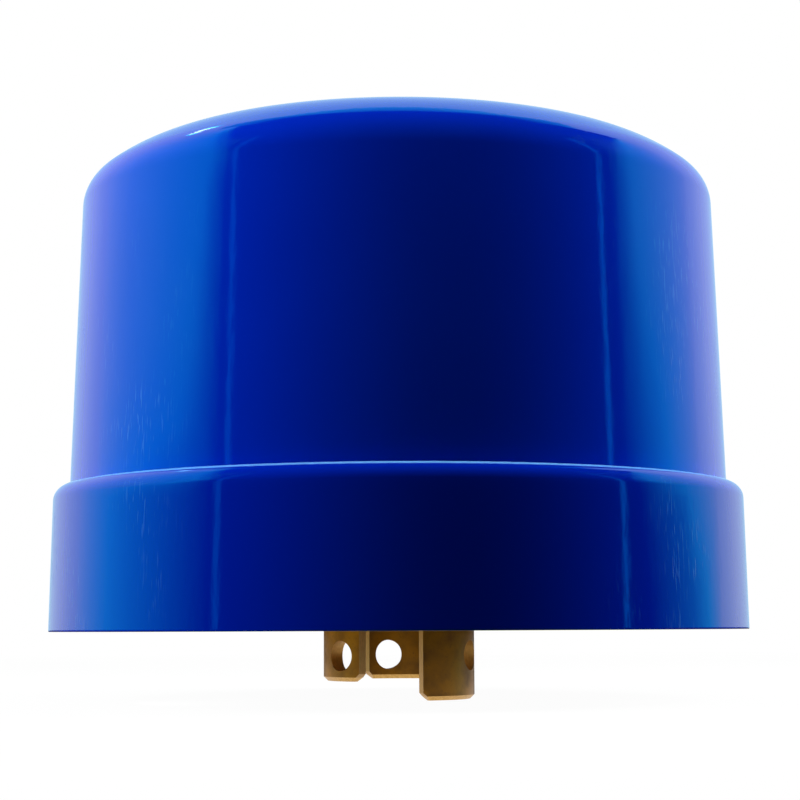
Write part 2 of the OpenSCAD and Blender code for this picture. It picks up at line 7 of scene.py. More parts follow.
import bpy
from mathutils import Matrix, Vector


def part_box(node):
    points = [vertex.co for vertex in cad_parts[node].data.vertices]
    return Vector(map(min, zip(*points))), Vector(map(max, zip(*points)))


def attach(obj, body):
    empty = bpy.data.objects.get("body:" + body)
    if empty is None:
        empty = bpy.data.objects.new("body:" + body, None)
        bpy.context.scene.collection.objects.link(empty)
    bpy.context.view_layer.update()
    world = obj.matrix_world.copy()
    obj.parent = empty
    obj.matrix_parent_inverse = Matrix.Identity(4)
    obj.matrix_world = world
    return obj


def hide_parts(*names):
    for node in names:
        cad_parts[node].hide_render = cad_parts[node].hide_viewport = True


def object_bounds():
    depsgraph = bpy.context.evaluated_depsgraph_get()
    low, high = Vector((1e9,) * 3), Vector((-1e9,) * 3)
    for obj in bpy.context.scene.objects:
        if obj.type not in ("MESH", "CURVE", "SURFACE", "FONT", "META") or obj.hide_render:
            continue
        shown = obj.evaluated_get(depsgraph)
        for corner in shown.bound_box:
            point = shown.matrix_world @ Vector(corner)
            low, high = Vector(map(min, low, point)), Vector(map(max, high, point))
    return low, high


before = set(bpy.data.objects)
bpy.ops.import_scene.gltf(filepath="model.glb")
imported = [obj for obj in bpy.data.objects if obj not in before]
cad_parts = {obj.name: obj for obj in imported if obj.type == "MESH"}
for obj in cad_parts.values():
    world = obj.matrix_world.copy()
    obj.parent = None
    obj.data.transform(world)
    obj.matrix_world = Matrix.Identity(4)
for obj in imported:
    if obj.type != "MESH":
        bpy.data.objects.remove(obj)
cad_box = [list(corner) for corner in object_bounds()]
print("CAD nodes:", len(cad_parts), "box:", cad_box)

# %% Units and plain helpers
import math

import bmesh
import bpy
from mathutils import Matrix, Vector

MM = 0.001
BODY = "root"
SHARP_ANGLE = 35


def new_object(name, data):
    """An object in the scene with a mesh, a lamp or a camera as its data."""
    made = bpy.data.objects.new(name, data)
    bpy.context.scene.collection.objects.link(made)
    return made


def mesh_object(name, points, faces=(), edges=()):
    """An object from points in millimetres."""
    mesh = bpy.data.meshes.new(name)
    mesh.from_pydata([Vector(point) * MM for point in points], edges, faces)
    return new_object(name, mesh)


def worked_in(made, sharp=SHARP_ANGLE):
    """Turns the evaluated object into a plain mesh and removes its modifiers."""
    bpy.context.view_layer.update()
    graph = bpy.context.evaluated_depsgraph_get()
    mesh = bpy.data.meshes.new_from_object(made.evaluated_get(graph))
    made.modifiers.clear()
    made.data = mesh
    mesh.shade_smooth()
    mesh.set_sharp_from_angle(angle=math.radians(sharp))
    return made


def ride(made, slot, *nodes):
    """Puts a finished piece on the body in place of its CAD nodes."""
    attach(made, BODY)
    if nodes:
        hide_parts(*nodes)
    print(made.name, len(made.data.polygons), "faces")


# %% [markdown]
# ## The camera
# The photograph was taken from close by, with the lens level with the open rim and tilted up a
# little. That is why the top edge shows as a flat arch while the rim is almost a straight line.
# A camera could be placed by eye, but the first six numbers below come from fitting the outline,
# so that the render can be laid over the photograph.

# %% Camera
CAMERA_BACK = 240.0
CAMERA_Z = 0.42
CAMERA_LENS = 88.2
CAMERA_TILT = 0.11515
CAMERA_TURN = 0.0011
CAMERA_ROLL = 0.0046
SENSOR_W = 36
CLIP_START = 0.01

camera = new_object("camera", bpy.data.cameras.new("camera"))
camera.data.lens = CAMERA_LENS
camera.data.sensor_width = SENSOR_W
camera.data.clip_start = CLIP_START
camera.matrix_world = (
    Matrix.Translation(Vector((0, -CAMERA_BACK, CAMERA_Z)) * MM)
    @ Matrix.Rotation(-CAMERA_TURN, 4, "Z")
    @ Matrix.Rotation(math.pi / 2 + CAMERA_TILT, 4, "X")
    @ Matrix.Rotation(-CAMERA_ROLL, 4, "Z")
)
bpy.context.scene.camera = camera
bpy.context.scene.view_settings.view_transform = "Standard"
print("camera at", tuple(round(c, 4) for c in camera.location))

# %% [markdown]
# ## Shader maths as Python
# A material is a graph of nodes, and a long graph is hard to read as a list of links. Here a small
# class stands for one output socket and lets numbers be added and multiplied as in plain Python.
# Every other node comes from one method, which takes its type, its settings and its sockets.


# %% Sockets and finishes
class Wire:
    """An output socket in a finish."""

    def __init__(self, finish, socket):
        self.finish = finish
        self.socket = socket

    def maths(self, operation, first, second):
        return self.finish.node("ShaderNodeMath", {"operation": operation}, {0: first, 1: second})

    def __add__(self, other):
        return self.maths("ADD", self, other)

    def __radd__(self, other):
        return self.maths("ADD", other, self)

    def __sub__(self, other):
        return self.maths("SUBTRACT", self, other)

    def __rsub__(self, other):
        return self.maths("SUBTRACT", other, self)

    def __mul__(self, other):
        return self.maths("MULTIPLY", self, other)

    def __rmul__(self, other):
        return self.maths("MULTIPLY", other, self)


class Finish:
    """A material whose nodes are added one call at a time."""

    def __init__(self, name, tree=None):
        if tree is None:
            self.material = bpy.data.materials.new(name)
            self.material.use_nodes = True
            tree = self.material.node_tree
        self.tree = tree
        self.tree.nodes.clear()

    def node(self, kind, settings=None, sockets=None, out=0):
        made = self.tree.nodes.new(kind)
        for key, value in (settings or {}).items():
            if key == "stops":
                for stop, (position, level) in zip(made.color_ramp.elements, value):
                    stop.position = position
                    stop.color = (level, level, level, 1)
            else:
                setattr(made, key, value)
        for key, value in (sockets or {}).items():
            if isinstance(value, Wire):
                self.tree.links.new(value.socket, made.inputs[key])
            else:
                made.inputs[key].default_value = value
        return Wire(self, made.outputs[out]) if made.outputs else None

    def place(self, scale=(1, 1, 1)):
        """Object coordinates, stretched by a scale."""
        coords = self.node("ShaderNodeTexCoord", out="Object")
        return self.node("ShaderNodeMapping", {}, {"Vector": coords, "Scale": scale})

    def noise(self, size, scale=(1, 1, 1), detail=2.0):
        """Noise with spots of about this size in millimetres."""
        return self.node(
            "ShaderNodeTexNoise",
            {},
            {"Vector": self.place(scale), "Scale": 1 / (size * MM), "Detail": detail},
        )

    def distance(self, scale=(1, 1, 1)):
        """The distance from the origin along the axes that a scale keeps."""
        placed = self.place(scale)
        return self.node("ShaderNodeVectorMath", {"operation": "LENGTH"}, {0: placed}, out=1)

    def fade(self, length, start, end, first=0.0, last=1.0):
        """A level that goes from first to last between two lengths in millimetres."""
        limits = {1: start * MM, 2: end * MM, 3: first, 4: last}
        return self.node("ShaderNodeMapRange", {}, {0: length, **limits})

    def ramp(self, value, low, high):
        """0 below low and 1 above high."""
        stops = [(low, 0.0), (high, 1.0)]
        return self.node("ShaderNodeValToRGB", {"stops": stops}, {"Fac": value})

    def blend(self, factor, first, second):
        """A colour between two colours."""
        return self.node(
            "ShaderNodeMix", {"data_type": "RGBA"}, {0: factor, 6: first, 7: second}, out=2
        )

    def bump(self, height, depth):
        """A normal from a height of 0 to 1 that stands for a depth in millimetres."""
        return self.node("ShaderNodeBump", {}, {"Height": height, "Distance": depth * MM})

    def rays(self, *kinds):
        """1 for the named kinds of ray and 0 for the others."""
        paths = self.node("ShaderNodeLightPath").socket.node.outputs
        total = Wire(self, paths[f"Is {kinds[0]} Ray"])
        for kind in kinds[1:]:
            total = total + Wire(self, paths[f"Is {kind} Ray"])
        return total

    def plastic(self, sockets):
        """Ends the finish in one Principled shader."""
        shader = self.node("ShaderNodeBsdfPrincipled", {}, sockets)
        self.node("ShaderNodeOutputMaterial", {}, {"Surface": shader})
        print("finish", self.material.name, len(self.tree.nodes), "nodes")
        return self.material


def srgb(red, green, blue):
    """A colour as an image editor shows it, from 0 to 255, made linear for Blender."""
    levels = [level / 255 for level in (red, green, blue)]
    linear = [l / 12.92 if l <= 0.04045 else ((l + 0.055) / 1.055) ** 2.4 for l in levels]
    return (*linear, 1.0)


# %% [markdown]
# ## Two Geometry Nodes trees
# Most of this object is turned: the cover, the base, the gasket and the screws are all a half
# section swept round the plug axis. The Spin tool would do it once, but a tree keeps the rule, so
# one section and a number of sides give any of them. A second tree sets copies of a small piece
# evenly round the axis, which is how the screws and their bosses are laid out.


# %% Tree helpers
def new_tree(name, inputs):
    """A tree with a geometry in and out and the named inputs."""
    tree = bpy.data.node_groups.new(name, "GeometryNodeTree")
    for label, kind in {"Geometry": "NodeSocketGeometry", **inputs}.items():
        tree.interface.new_socket(label, in_out="INPUT", socket_type=kind)
    tree.interface.new_socket("Geometry", in_out="OUTPUT", socket_type="NodeSocketGeometry")
    return tree


def step(tree, kind, settings=None, sockets=None):
    """Adds a node to a tree, with its settings and its sockets' values or links."""
    made = tree.nodes.new(kind)
    for key, value in (settings or {}).items():
        setattr(made, key, value)
    for key, value in (sockets or {}).items():
        if isinstance(value, bpy.types.NodeSocket):
            tree.links.new(value, made.inputs[key])
        else:
            made.inputs[key].default_value = value
    return made.outputs


def close_tree(tree, geometry, material):
    """Ends a tree in real faces that carry their material."""
    real = step(tree, "GeometryNodeRealizeInstances", {}, {0: geometry})[0]
    dressed = step(tree, "GeometryNodeSetMaterial", {}, {"Geometry": real, "Material": material})
    step(tree, "NodeGroupOutput", {}, {0: dressed[0]})


def run_tree(made, tree, values):
    """Sets a tree's inputs by identifier, runs it on the object and keeps the mesh."""
    modifier = made.modifiers.new(tree.name, "NODES")
    for item in tree.interface.items_tree:
        if item.in_out == "INPUT" and item.name in values:
            modifier[item.identifier] = values[item.name]
    modifier.node_group = tree
    return worked_in(made)


# %% The turning tree
# The section lies in XY, with X as the radius and Y as the height. The sweep hangs the section on
# a guide ring and points its Y axis down, so the section is moved in by the ring's radius first.
GUIDE_R = 10.0
WELD = 0.002

turning = new_tree("turning", {"Sides": "NodeSocketInt", "Material": "NodeSocketMaterial"})
given = step(turning, "NodeGroupInput")
hung = step(
    turning,
    "GeometryNodeTransform",
    {},
    {"Geometry": given[0], "Translation": (-GUIDE_R * MM, 0, 0), "Scale": (1, -1, 1)},
)
section = step(turning, "GeometryNodeMeshToCurve", {}, {0: hung[0]})
ring = step(
    turning,
    "GeometryNodeCurvePrimitiveCircle",
    {},
    {"Resolution": given["Sides"], "Radius": GUIDE_R * MM},
)
upright = step(turning, "GeometryNodeSetCurveNormal", {"mode": "Z_UP"}, {0: ring[0]})
swept = step(turning, "GeometryNodeCurveToMesh", {}, {0: upright[0], 1: section[0]})
closed = step(turning, "GeometryNodeMergeByDistance", {}, {0: swept[0], "Distance": WELD * MM})
close_tree(turning, closed[0], given["Material"])
print("turning tree:", len(turning.nodes), "nodes")

# %% The ring-of-copies tree
ring_of = new_tree(
    "ring_of_copies",
    {
        "Count": "NodeSocketInt",
        "Radius": "NodeSocketFloat",
        "First angle": "NodeSocketFloat",
        "Material": "NodeSocketMaterial",
    },
)
given = step(ring_of, "NodeGroupInput")
spots = step(
    ring_of,
    "GeometryNodeMeshCircle",
    {},
    {"Vertices": given["Count"], "Radius": given["Radius"]},
)
turn = step(ring_of, "ShaderNodeCombineXYZ", {}, {"Z": given["First angle"]})
turned = step(ring_of, "GeometryNodeTransform", {}, {"Geometry": spots[0], "Rotation": turn[0]})
outward = step(
    ring_of,
    "FunctionNodeAlignRotationToVector",
    {"axis": "X", "pivot_axis": "Z"},
    {"Vector": step(ring_of, "GeometryNodeInputPosition")[0]},
)
copies = step(
    ring_of,
    "GeometryNodeInstanceOnPoints",
    {},
    {"Points": turned[0], "Instance": given[0], "Rotation": outward[0]},
)
close_tree(ring_of, copies[0], given["Material"])
print("ring tree:", len(ring_of.nodes), "nodes")


# %% Turned pieces
def arc(centre, radius, start, end, count):
    """Points on an arc between two angles in degrees."""
    angles = [math.radians(start + (end - start) * i / count) for i in range(count + 1)]
    return [(centre[0] + radius * math.cos(a), centre[1] + radius * math.sin(a)) for a in angles]


def line(start, end, pitch):
    """Points from a start up to, but without, an end."""
    count = max(1, round(math.dist(start, end) / pitch))
    return [
        (start[0] + (end[0] - start[0]) * i / count, start[1] + (end[1] - start[1]) * i / count)
        for i in range(count)
    ]


def turned_piece(name, points, material, sides, loop=False):
    """Sweeps a half section, listed from the top of the axis down the outside."""
    edges = [(i, i + 1) for i in range(len(points) - 1)]
    if loop:
        edges.append((len(points) - 1, 0))
    made = mesh_object(name, [(r, z, 0) for r, z in points], edges=edges)
    return run_tree(made, turning, {"Sides": sides, "Material": material})


def cut(made, cutter):
    """Takes one closed mesh out of another."""
    modifier = made.modifiers.new("cut", "BOOLEAN")
    modifier.operation = "DIFFERENCE"
    modifier.solver = "EXACT"
    modifier.object = cutter
    worked_in(made)
    bpy.data.objects.remove(cutter)


def join(target, *others):
    """Adds the faces of other meshes to a piece."""
    joined = bmesh.new()
    for source in (target, *others):
        joined.from_mesh(source.data)
    joined.to_mesh(target.data)
    joined.free()
    for source in others:
        bpy.data.objects.remove(source)


# %% [markdown]
# ## Blue plastic
# The cover is injection moulded in a strong blue and is as glossy as it left the mould. A real
# moulding isn't a perfect mirror: it has a fine orange peel, drawn out along the way the part
# leaves the mould, and faint rubs from packing. So the colour hardly varies, and the character is
# in the bump and the roughness. Both sides also carry fine upright hairlines, where hands grip the
# cover to twist it into its socket. The reflection is tinted, because this blue swallows nearly all
# red, and pales only at grazing angles. The skirt is painted a shade darker than the cap: painted
# shade, for the light that falls off towards the bottom. Its top edge is where the two halves of
# the mould part, and a thin line along it is painted much paler than the rest: a painted highlight.

# %% Finish of the cover
PEEL_SIZE = 1.1
RUB_SIZE = 0.5
RUBBED_SIZE = 14
CLOUD_SIZE = 20
HAIR_SIZE = 0.24
HANDLED_SIZE = 9
PEEL_DEPTH = 0.007
# These place a painted highlight: a thin pale line round the outside of the step's edge.
LINE_LOW = 16.96
LINE_HIGH = 17.08
LINE_IN_R = 40.0
HIGHLIGHT_LINE_SHARE = 0.85
# Between these heights the skirt's painted shade fades in, so the skirt is painted darker than the
# cap.
SKIRT_SHADE_Z = 15.0
SKIRT_SHADE_END_Z = 17.5
GRIP_FROM_X = 20.0
GRIP_FULL_X = 32.0
GRIP_FULL_Z = 45.0
GRIP_TOP_Z = 50.0
CAP_BLUES = srgb(0, 31, 166), srgb(0, 36, 176)
# The skirt's darker blue is painted shade, for light that falls off towards the bottom.
SHADED_SKIRT_BLUE = srgb(0, 27, 160)
HAIR_BLUE = srgb(96, 140, 214)
# The paler blue of that painted highlight line.
HIGHLIGHT_LINE_BLUE = srgb(112, 184, 255)

blue = Finish("cover_blue")
height = blue.node("ShaderNodeSeparateXYZ", {}, {0: blue.place()}, out="Z")
peel = blue.noise(PEEL_SIZE, (1, 1, 0.3))
rub = blue.ramp(blue.noise(RUB_SIZE, (1, 1, 0.12), 3), 0.56, 0.72)
rubbed = rub * blue.ramp(blue.noise(RUBBED_SIZE, (1, 1, 0.5)), 0.48, 0.66)
hairs = blue.ramp(blue.noise(HAIR_SIZE, (1, 1, 0.1), 1), 0.6, 0.7)
handled = blue.ramp(blue.noise(HANDLED_SIZE, (1, 1, 0.6)), 0.48, 0.62)
grip = blue.fade(blue.distance((1, 0, 0)), GRIP_FROM_X, GRIP_FULL_X)
on_wall = blue.fade(height, GRIP_FULL_Z, GRIP_TOP_Z, 1.0, 0.0)
hairline = hairs * (grip * (on_wall * handled))
outside = blue.node(
    "ShaderNodeMath",
    {"operation": "GREATER_THAN"},
    {0: blue.distance((1, 1, 0)), 1: LINE_IN_R * MM},
)
# Painted highlight: the thin pale line round the step's outer edge.
painted_highlight_line = HIGHLIGHT_LINE_SHARE * (blue.fade(height, LINE_LOW, LINE_HIGH) * outside)
# Painted shade: below the step the blue fades to the skirt's darker blue.
painted_skirt_shade = blue.fade(height, SKIRT_SHADE_Z, SKIRT_SHADE_END_Z, 1.0, 0.0)
cap_blue = blue.blend(blue.noise(CLOUD_SIZE), *CAP_BLUES)
skirt_shaded_blue = blue.blend(painted_skirt_shade, cap_blue, SHADED_SKIRT_BLUE)
hairline_and_shade_blue = blue.blend(0.16 * hairline, skirt_shaded_blue, HAIR_BLUE)
blue_plastic = blue.plastic(
    {
        "Base Color": blue.blend(painted_highlight_line, hairline_and_shade_blue, HIGHLIGHT_LINE_BLUE),
        "Roughness": 0.07 + 0.16 * rubbed + 0.14 * hairline,
        "IOR": 2.0,
        "Specular Tint": (0.0, 0.55, 1.0, 1.0),
        "Normal": blue.bump(peel + 0.35 * rubbed + 1.1 * hairline, PEEL_DEPTH),
    }
)

# %% [markdown]
# ## The moulded cover
# The cover is one thin shell: a drafted skirt with a rounded edge, a step, a drafted cap, a tight
# shoulder and a wide margin that runs into a flat crown. The CAD mesh could be shown as it is, but
# it is loose triangles, and a glossy wall needs even rings. So the section is written with the same
# values as the CAD model, outside first and then back up the inside, and the turning tree sweeps it.
# The rings on the cap wall are close together so that the window can be cut cleanly.

# %% Section of the cover
RIM_R = 42.0
SKIRT_H = 17.3
SKIRT_DRAFT = 1.2
SKIRT_EDGE_R = 1.9
STEP_W = 1.95
CAP_DRAFT = 1.8
CROWN_Z = 59.0
CROWN_R = 20.0
CROWN_TURN = 37.5
SHOULDER_R = 4.8
WALL_T = 2.2
RIM_ROUND = 0.1
RIM_HOLD_Z = 0.25
RING_PITCH = 1.2
CROWN_PITCH = 4.8
ARC_STEPS = 24
EDGE_STEPS = 16
RIM_STEPS = 4
LEDGE_Z = SKIRT_H - WALL_T


def skirt_r(z, inset=0.0):
    return RIM_R - inset - z * math.tan(math.radians(SKIRT_DRAFT))


def cap_r(z, inset=0.0):
    base_r = skirt_r(SKIRT_H) - STEP_W
    return base_r - inset - (z - SKIRT_H) * math.tan(math.radians(CAP_DRAFT))


def cap_section(z_low, inset):
    """The cap from the middle of its crown, over the margin and the shoulder and down its wall."""
    margin_r, round_r = CROWN_R - inset, SHOULDER_R - inset
    turned = 90 - CROWN_TURN
    lean = Vector((math.cos(math.radians(turned)), math.sin(math.radians(turned))))
    round_z = CROWN_Z - CROWN_R + (margin_r - round_r) * lean.y
    round_x = cap_r(round_z, inset) - round_r / math.cos(math.radians(CAP_DRAFT))
    round_c = Vector((round_x, round_z))
    margin_c = round_c - (margin_r - round_r) * lean
    crown = line((0, CROWN_Z - inset), (margin_c.x, CROWN_Z - inset), CROWN_PITCH)
    margin = arc(margin_c, margin_r, 90, turned, ARC_STEPS)[:-1]
    shoulder = arc(round_c, round_r, turned, CAP_DRAFT, ARC_STEPS)
    wall = line(shoulder[-1], (cap_r(z_low, inset), z_low), RING_PITCH)[1:]
    return crown + margin + shoulder + wall + [(cap_r(z_low, inset), z_low)]


edge_z = SKIRT_H - SKIRT_EDGE_R
edge_c = (skirt_r(edge_z) - SKIRT_EDGE_R / math.cos(math.radians(SKIRT_DRAFT)), edge_z)
cover_section = cap_section(SKIRT_H, 0)
cover_section += arc(edge_c, SKIRT_EDGE_R, 90, SKIRT_DRAFT, EDGE_STEPS)
rim_hold = (skirt_r(RIM_HOLD_Z), RIM_HOLD_Z)
cover_section += line(cover_section[-1], rim_hold, RING_PITCH)[1:] + [rim_hold]
rim_out_c = (skirt_r(0) - RIM_ROUND, RIM_ROUND)
rim_in_c = (skirt_r(0, WALL_T) + RIM_ROUND, RIM_ROUND)
cover_section += arc(rim_out_c, RIM_ROUND, 0, -90, RIM_STEPS)
cover_section += arc(rim_in_c, RIM_ROUND, -90, -180, RIM_STEPS)
cover_section += [(skirt_r(LEDGE_Z, WALL_T), LEDGE_Z)]
cover_section += reversed(cap_section(LEDGE_Z, WALL_T))
print("cover section:", len(cover_section), "points")

# %% Window outline
WINDOW_W = 16.0
WINDOW_H = 13.0
WINDOW_CORNER_R = 3.0
WINDOW_Z = 37.0
CORNERS = [(1, 1), (-1, 1), (-1, -1), (1, -1)]
CORNER_STEPS = 10


def window_outline(margin):
    """The rounded window outline about its centre, grown by a margin."""
    half_w, half_h = WINDOW_W / 2 + margin, WINDOW_H / 2 + margin
    radius = WINDOW_CORNER_R + margin
    points = []
    for turn, (x, z) in enumerate(CORNERS):
        centre = (x * (half_w - radius), z * (half_h - radius))
        points += arc(centre, radius, 90 * turn, 90 * turn + 90, CORNER_STEPS)
    return points


opening = [(x, WINDOW_Z + z) for x, z in window_outline(0)]
print("window opening:", len(opening), "points")

# %% The cover, with its window opening
COVER_SIDES = 192
CUT_FROM_Y = 20
CUT_TO_Y = 50


def prism(name, outline, y_near, y_far):
    """A closed prism along Y from an outline in X and Z, anticlockwise as the camera sees it."""
    count = len(outline)
    points = [(x, y, z) for y in (y_near, y_far) for x, z in outline]
    sides = [(i, count + i, count + (i + 1) % count, (i + 1) % count) for i in range(count)]
    caps = [tuple(range(count)), tuple(range(2 * count - 1, count - 1, -1))]
    return mesh_object(name, points, sides + caps)


cover = turned_piece("cover_shell", cover_section, blue_plastic, COVER_SIDES)
cut(cover, prism("window_cutter", opening, CUT_FROM_Y, CUT_TO_Y))
print("cover:", len(cover.data.polygons), "faces after the cut")

# %% [markdown]
# ## Bosses inside the cover
# Three screws come up through the base into bosses moulded with the cover, each braced by a gusset.
# They are hidden, but they are part of the moulding, so one boss is turned, gets its gusset and is
# copied round the axis by the ring tree.

# %% Bosses
BASE_TOP = 7.2
BASE_GAP = 0.2
UPSTAND_T = 2.0
BASE_R = skirt_r(LEDGE_Z, WALL_T) - BASE_GAP
UPSTAND_R = BASE_R - UPSTAND_T
BOSS_TOP = 29.2
BOSS_R = 3.5
BOSS_GAP = 0.4
BOSS_RING_R = UPSTAND_R - BOSS_GAP - BOSS_R
BOSS_COUNT = 3
PILOT_R = 1.55
PILOT_TOP = 19.7
GUSSET_LOW = 15.2
GUSSET_HALF = 1.2
SMALL_SIDES = 48

boss_section = [(0, BOSS_TOP), (BOSS_R, BOSS_TOP), (BOSS_R, BASE_TOP), (PILOT_R, BASE_TOP)]
boss_section += [(PILOT_R, PILOT_TOP), (0, PILOT_TOP)]
boss = turned_piece("boss", boss_section, blue_plastic, SMALL_SIDES)
root_x, wall_x = BOSS_R / 2, cap_r(BOSS_TOP) - WALL_T / 2 - BOSS_RING_R
rise = 2 * BOSS_R
plate = [(root_x, GUSSET_LOW), (wall_x, GUSSET_LOW), (wall_x, BOSS_TOP + rise)]
plate += [(root_x, BOSS_TOP + rise * root_x / wall_x)]
join(boss, prism("gusset", plate, -GUSSET_HALF, GUSSET_HALF))


def at_bosses(made, material):
    """Copies a piece to the three places of the cover's bosses."""
    values = {"Count": BOSS_COUNT, "Radius": BOSS_RING_R * MM, "First angle": 0.0}
    return run_tree(made, ring_of, {**values, "Material": material})


join(cover, at_bosses(boss, blue_plastic))
ride(cover, "cover_blue", "cover")

# %% [markdown]
# ## The sensor window
# A clear lens closes the opening on the side that faces away from the camera. It is a plug with a
# flange behind the wall, and both follow the curve of the cap. A flat pane would be easier to model,
# but it can't follow a round wall. So rings of points on the cap's own surface, each a little deeper,
# give the plug, its rounded rim and the flange in one closed mesh.

# %% Finish of the lens
clear = Finish("window_clear")
wipe = clear.noise(1.6, (1, 1, 0.3), 3)
clear_plastic = clear.plastic(
    {
        "Base Color": (0.93, 0.95, 0.95, 1.0),
        "Roughness": 0.03 + 0.06 * wipe,
        "IOR": 1.49,
        "Transmission Weight": 1.0,
        "Normal": clear.bump(wipe, 0.004),
    }
)

# %% The lens
LENS_GAP = 0.1
LENS_RECESS = 0.25
LENS_FACE_IN = 0.4
LENS_RIM = [(0.2, 0.03), (0.06, 0.1), (0.0, 0.25)]
FACE_SHARES = (0.25, 0.5, 0.75, 1)
BACK_SHARES = (1, 0.66, 0.33)
FLANGE_W = 1.8
FLANGE_T = 1.2
LENS_SHARP = 50


def on_cap(x, z, depth):
    """A point at a depth below the cap's outer surface, on the window's side."""
    radius = cap_r(WINDOW_Z + z, depth)
    return (x, math.sqrt(radius**2 - x**2), WINDOW_Z + z)


# Each ring has its margin round the window, its share of the outline's size and its depth.
plug, back = -LENS_GAP, WALL_T + FLANGE_T
rings = [(plug - LENS_FACE_IN, share, LENS_RECESS) for share in FACE_SHARES]
rings += [(plug - inset, 1, LENS_RECESS + depth) for inset, depth in LENS_RIM]
rings += [(plug, 1, WALL_T), (FLANGE_W, 1, WALL_T)]
rings += [(FLANGE_W, share, back) for share in BACK_SHARES]
points = [on_cap(0, 0, LENS_RECESS)]
for margin, share, depth in rings:
    points += [on_cap(share * x, share * z, depth) for x, z in window_outline(margin)]
points.append(on_cap(0, 0, back))
around = (len(points) - 2) // len(rings)
faces = []
for i in range(around):
    j = (i + 1) % around
    faces.append((0, 1 + j, 1 + i))
    for level in range(len(rings) - 1):
        near, far = 1 + level * around, 1 + (level + 1) * around
        faces.append((near + i, near + j, far + j, far + i))
    last = 1 + (len(rings) - 1) * around
    faces.append((last + i, last + j, len(points) - 1))
lens = mesh_object("window_lens", points, faces)
lens.data.materials.append(clear_plastic)
worked_in(lens, LENS_SHARP)
ride(lens, "window_clear", "window")

# %% [markdown]
# ## The base
# The base is a black moulding inside the skirt: a plate with an upstand that meets the cover's
# step, and a hub that grips the blades. Seen from below it has a fine spark-eroded grain, so its
# bump is much finer than the cover's and it is far less glossy. It is turned like the cover. The
# screw counterbores and blade slots could be drawn into its mesh, but cutting them afterwards keeps
# the section simple.

# %% Finish of the base
black = Finish("base_black")
grain = black.noise(0.35, detail=3)
haze = black.noise(9, detail=3)
black_plastic = black.plastic(
    {
        "Base Color": black.blend(haze, srgb(26, 27, 29), srgb(38, 39, 41)),
        "Roughness": 0.44 + 0.2 * haze,
        "Normal": black.bump(grain, 0.03),
    }
)

# %% The base plate
BASE_LOW = 4.0
HUB_R = 14.0
HUB_LOW = 2.8
HUB_TOP = 9.0
BASE_EDGE_R = 0.3
BASE_SIDES = 144
ROUND_STEPS = 5

base_section = [(0, HUB_TOP), (HUB_R, HUB_TOP), (HUB_R, BASE_TOP), (UPSTAND_R, BASE_TOP)]
base_section += [(UPSTAND_R, LEDGE_Z), (BASE_R, LEDGE_Z)]
plate_edge_c = (BASE_R - BASE_EDGE_R, BASE_LOW + BASE_EDGE_R)
base_section += arc(plate_edge_c, BASE_EDGE_R, 0, -90, ROUND_STEPS)
base_section += [(HUB_R, BASE_LOW)]
hub_edge_c = (HUB_R - BASE_EDGE_R, HUB_LOW + BASE_EDGE_R)
base_section += arc(hub_edge_c, BASE_EDGE_R, 0, -90, ROUND_STEPS)
base_section += [(0, HUB_LOW)]
base = turned_piece("base_plate", base_section, black_plastic, BASE_SIDES)
print("base:", len(base.data.polygons), "faces before its holes")

# %% Screw holes in the base
PAST = 1.0
HEAD_HOLE_R = 3.1
HEAD_HOLE_TOP = 5.8
SHANK_HOLE_R = 1.8

hole_top, hole_end = BASE_TOP + PAST, BASE_LOW - PAST
hole_section = [(0, hole_top), (SHANK_HOLE_R, hole_top), (SHANK_HOLE_R, HEAD_HOLE_TOP)]
hole_section += [(HEAD_HOLE_R, HEAD_HOLE_TOP), (HEAD_HOLE_R, hole_end), (0, hole_end)]
hole = turned_piece("screw_hole", hole_section, black_plastic, SMALL_SIDES)
cut(base, at_bosses(hole, black_plastic))
print("base:", len(base.data.polygons), "faces with its screw holes")

# %% [markdown]
# ## The twist-lock blades
# Each blade is stamped from brass strip and rolled to the plug's circle: a neck through the hub, a
# hook that turns under the socket's contact, a round detent hole and a soldered tail. It could be
# cut from a tube, but its outline is easier to see before it is bent. So a blade is drawn flat, as
# angle and height, sliced into narrow strips and wrapped round the circle as two skins with a cut
# edge between them. A rectangle a little wider than the neck, wrapped in the same way, cuts each
# slot in the base.

# %% Flat outline of a blade
BLADE_OUT_R = 9.13
BLADE_T = 1.5
BLADE_MID_R = BLADE_OUT_R - BLADE_T / 2
HOOK_TOP = 0.3
NECK_HALF = 19.0
SHOULDER_HALF = 24.0
SHOULDER_TOP = 11.0
TAIL_HALF = 6.0
TAIL_TOP = 16.3
TIP_CHAMFER = 0.9
TIP_BEVEL = 0.5
DETENT_R = 1.8
DETENT_Z = -3.0


def degrees_of(length):
    """The angle of a length along the blade circle."""
    return math.degrees(length / BLADE_MID_R)


def blade_outline(span, reach):
    """The blade's edge as angle and height about its detent hole, anticlockwise."""
    corner = degrees_of(TIP_CHAMFER)
    return [
        (-span, HOOK_TOP),
        (-span, TIP_CHAMFER - reach),
        (corner - span, -reach),
        (NECK_HALF - corner, -reach),
        (NECK_HALF, TIP_CHAMFER - reach),
        (NECK_HALF, HUB_TOP),
        (SHOULDER_HALF, HUB_TOP),
        (SHOULDER_HALF, SHOULDER_TOP),
        (TAIL_HALF, SHOULDER_TOP),
        (TAIL_HALF, TAIL_TOP),
        (-TAIL_HALF, TAIL_TOP),
        (-TAIL_HALF, SHOULDER_TOP),
        (-SHOULDER_HALF, SHOULDER_TOP),
        (-SHOULDER_HALF, HUB_TOP),
        (-NECK_HALF, HUB_TOP),
        (-NECK_HALF, HOOK_TOP),
    ]


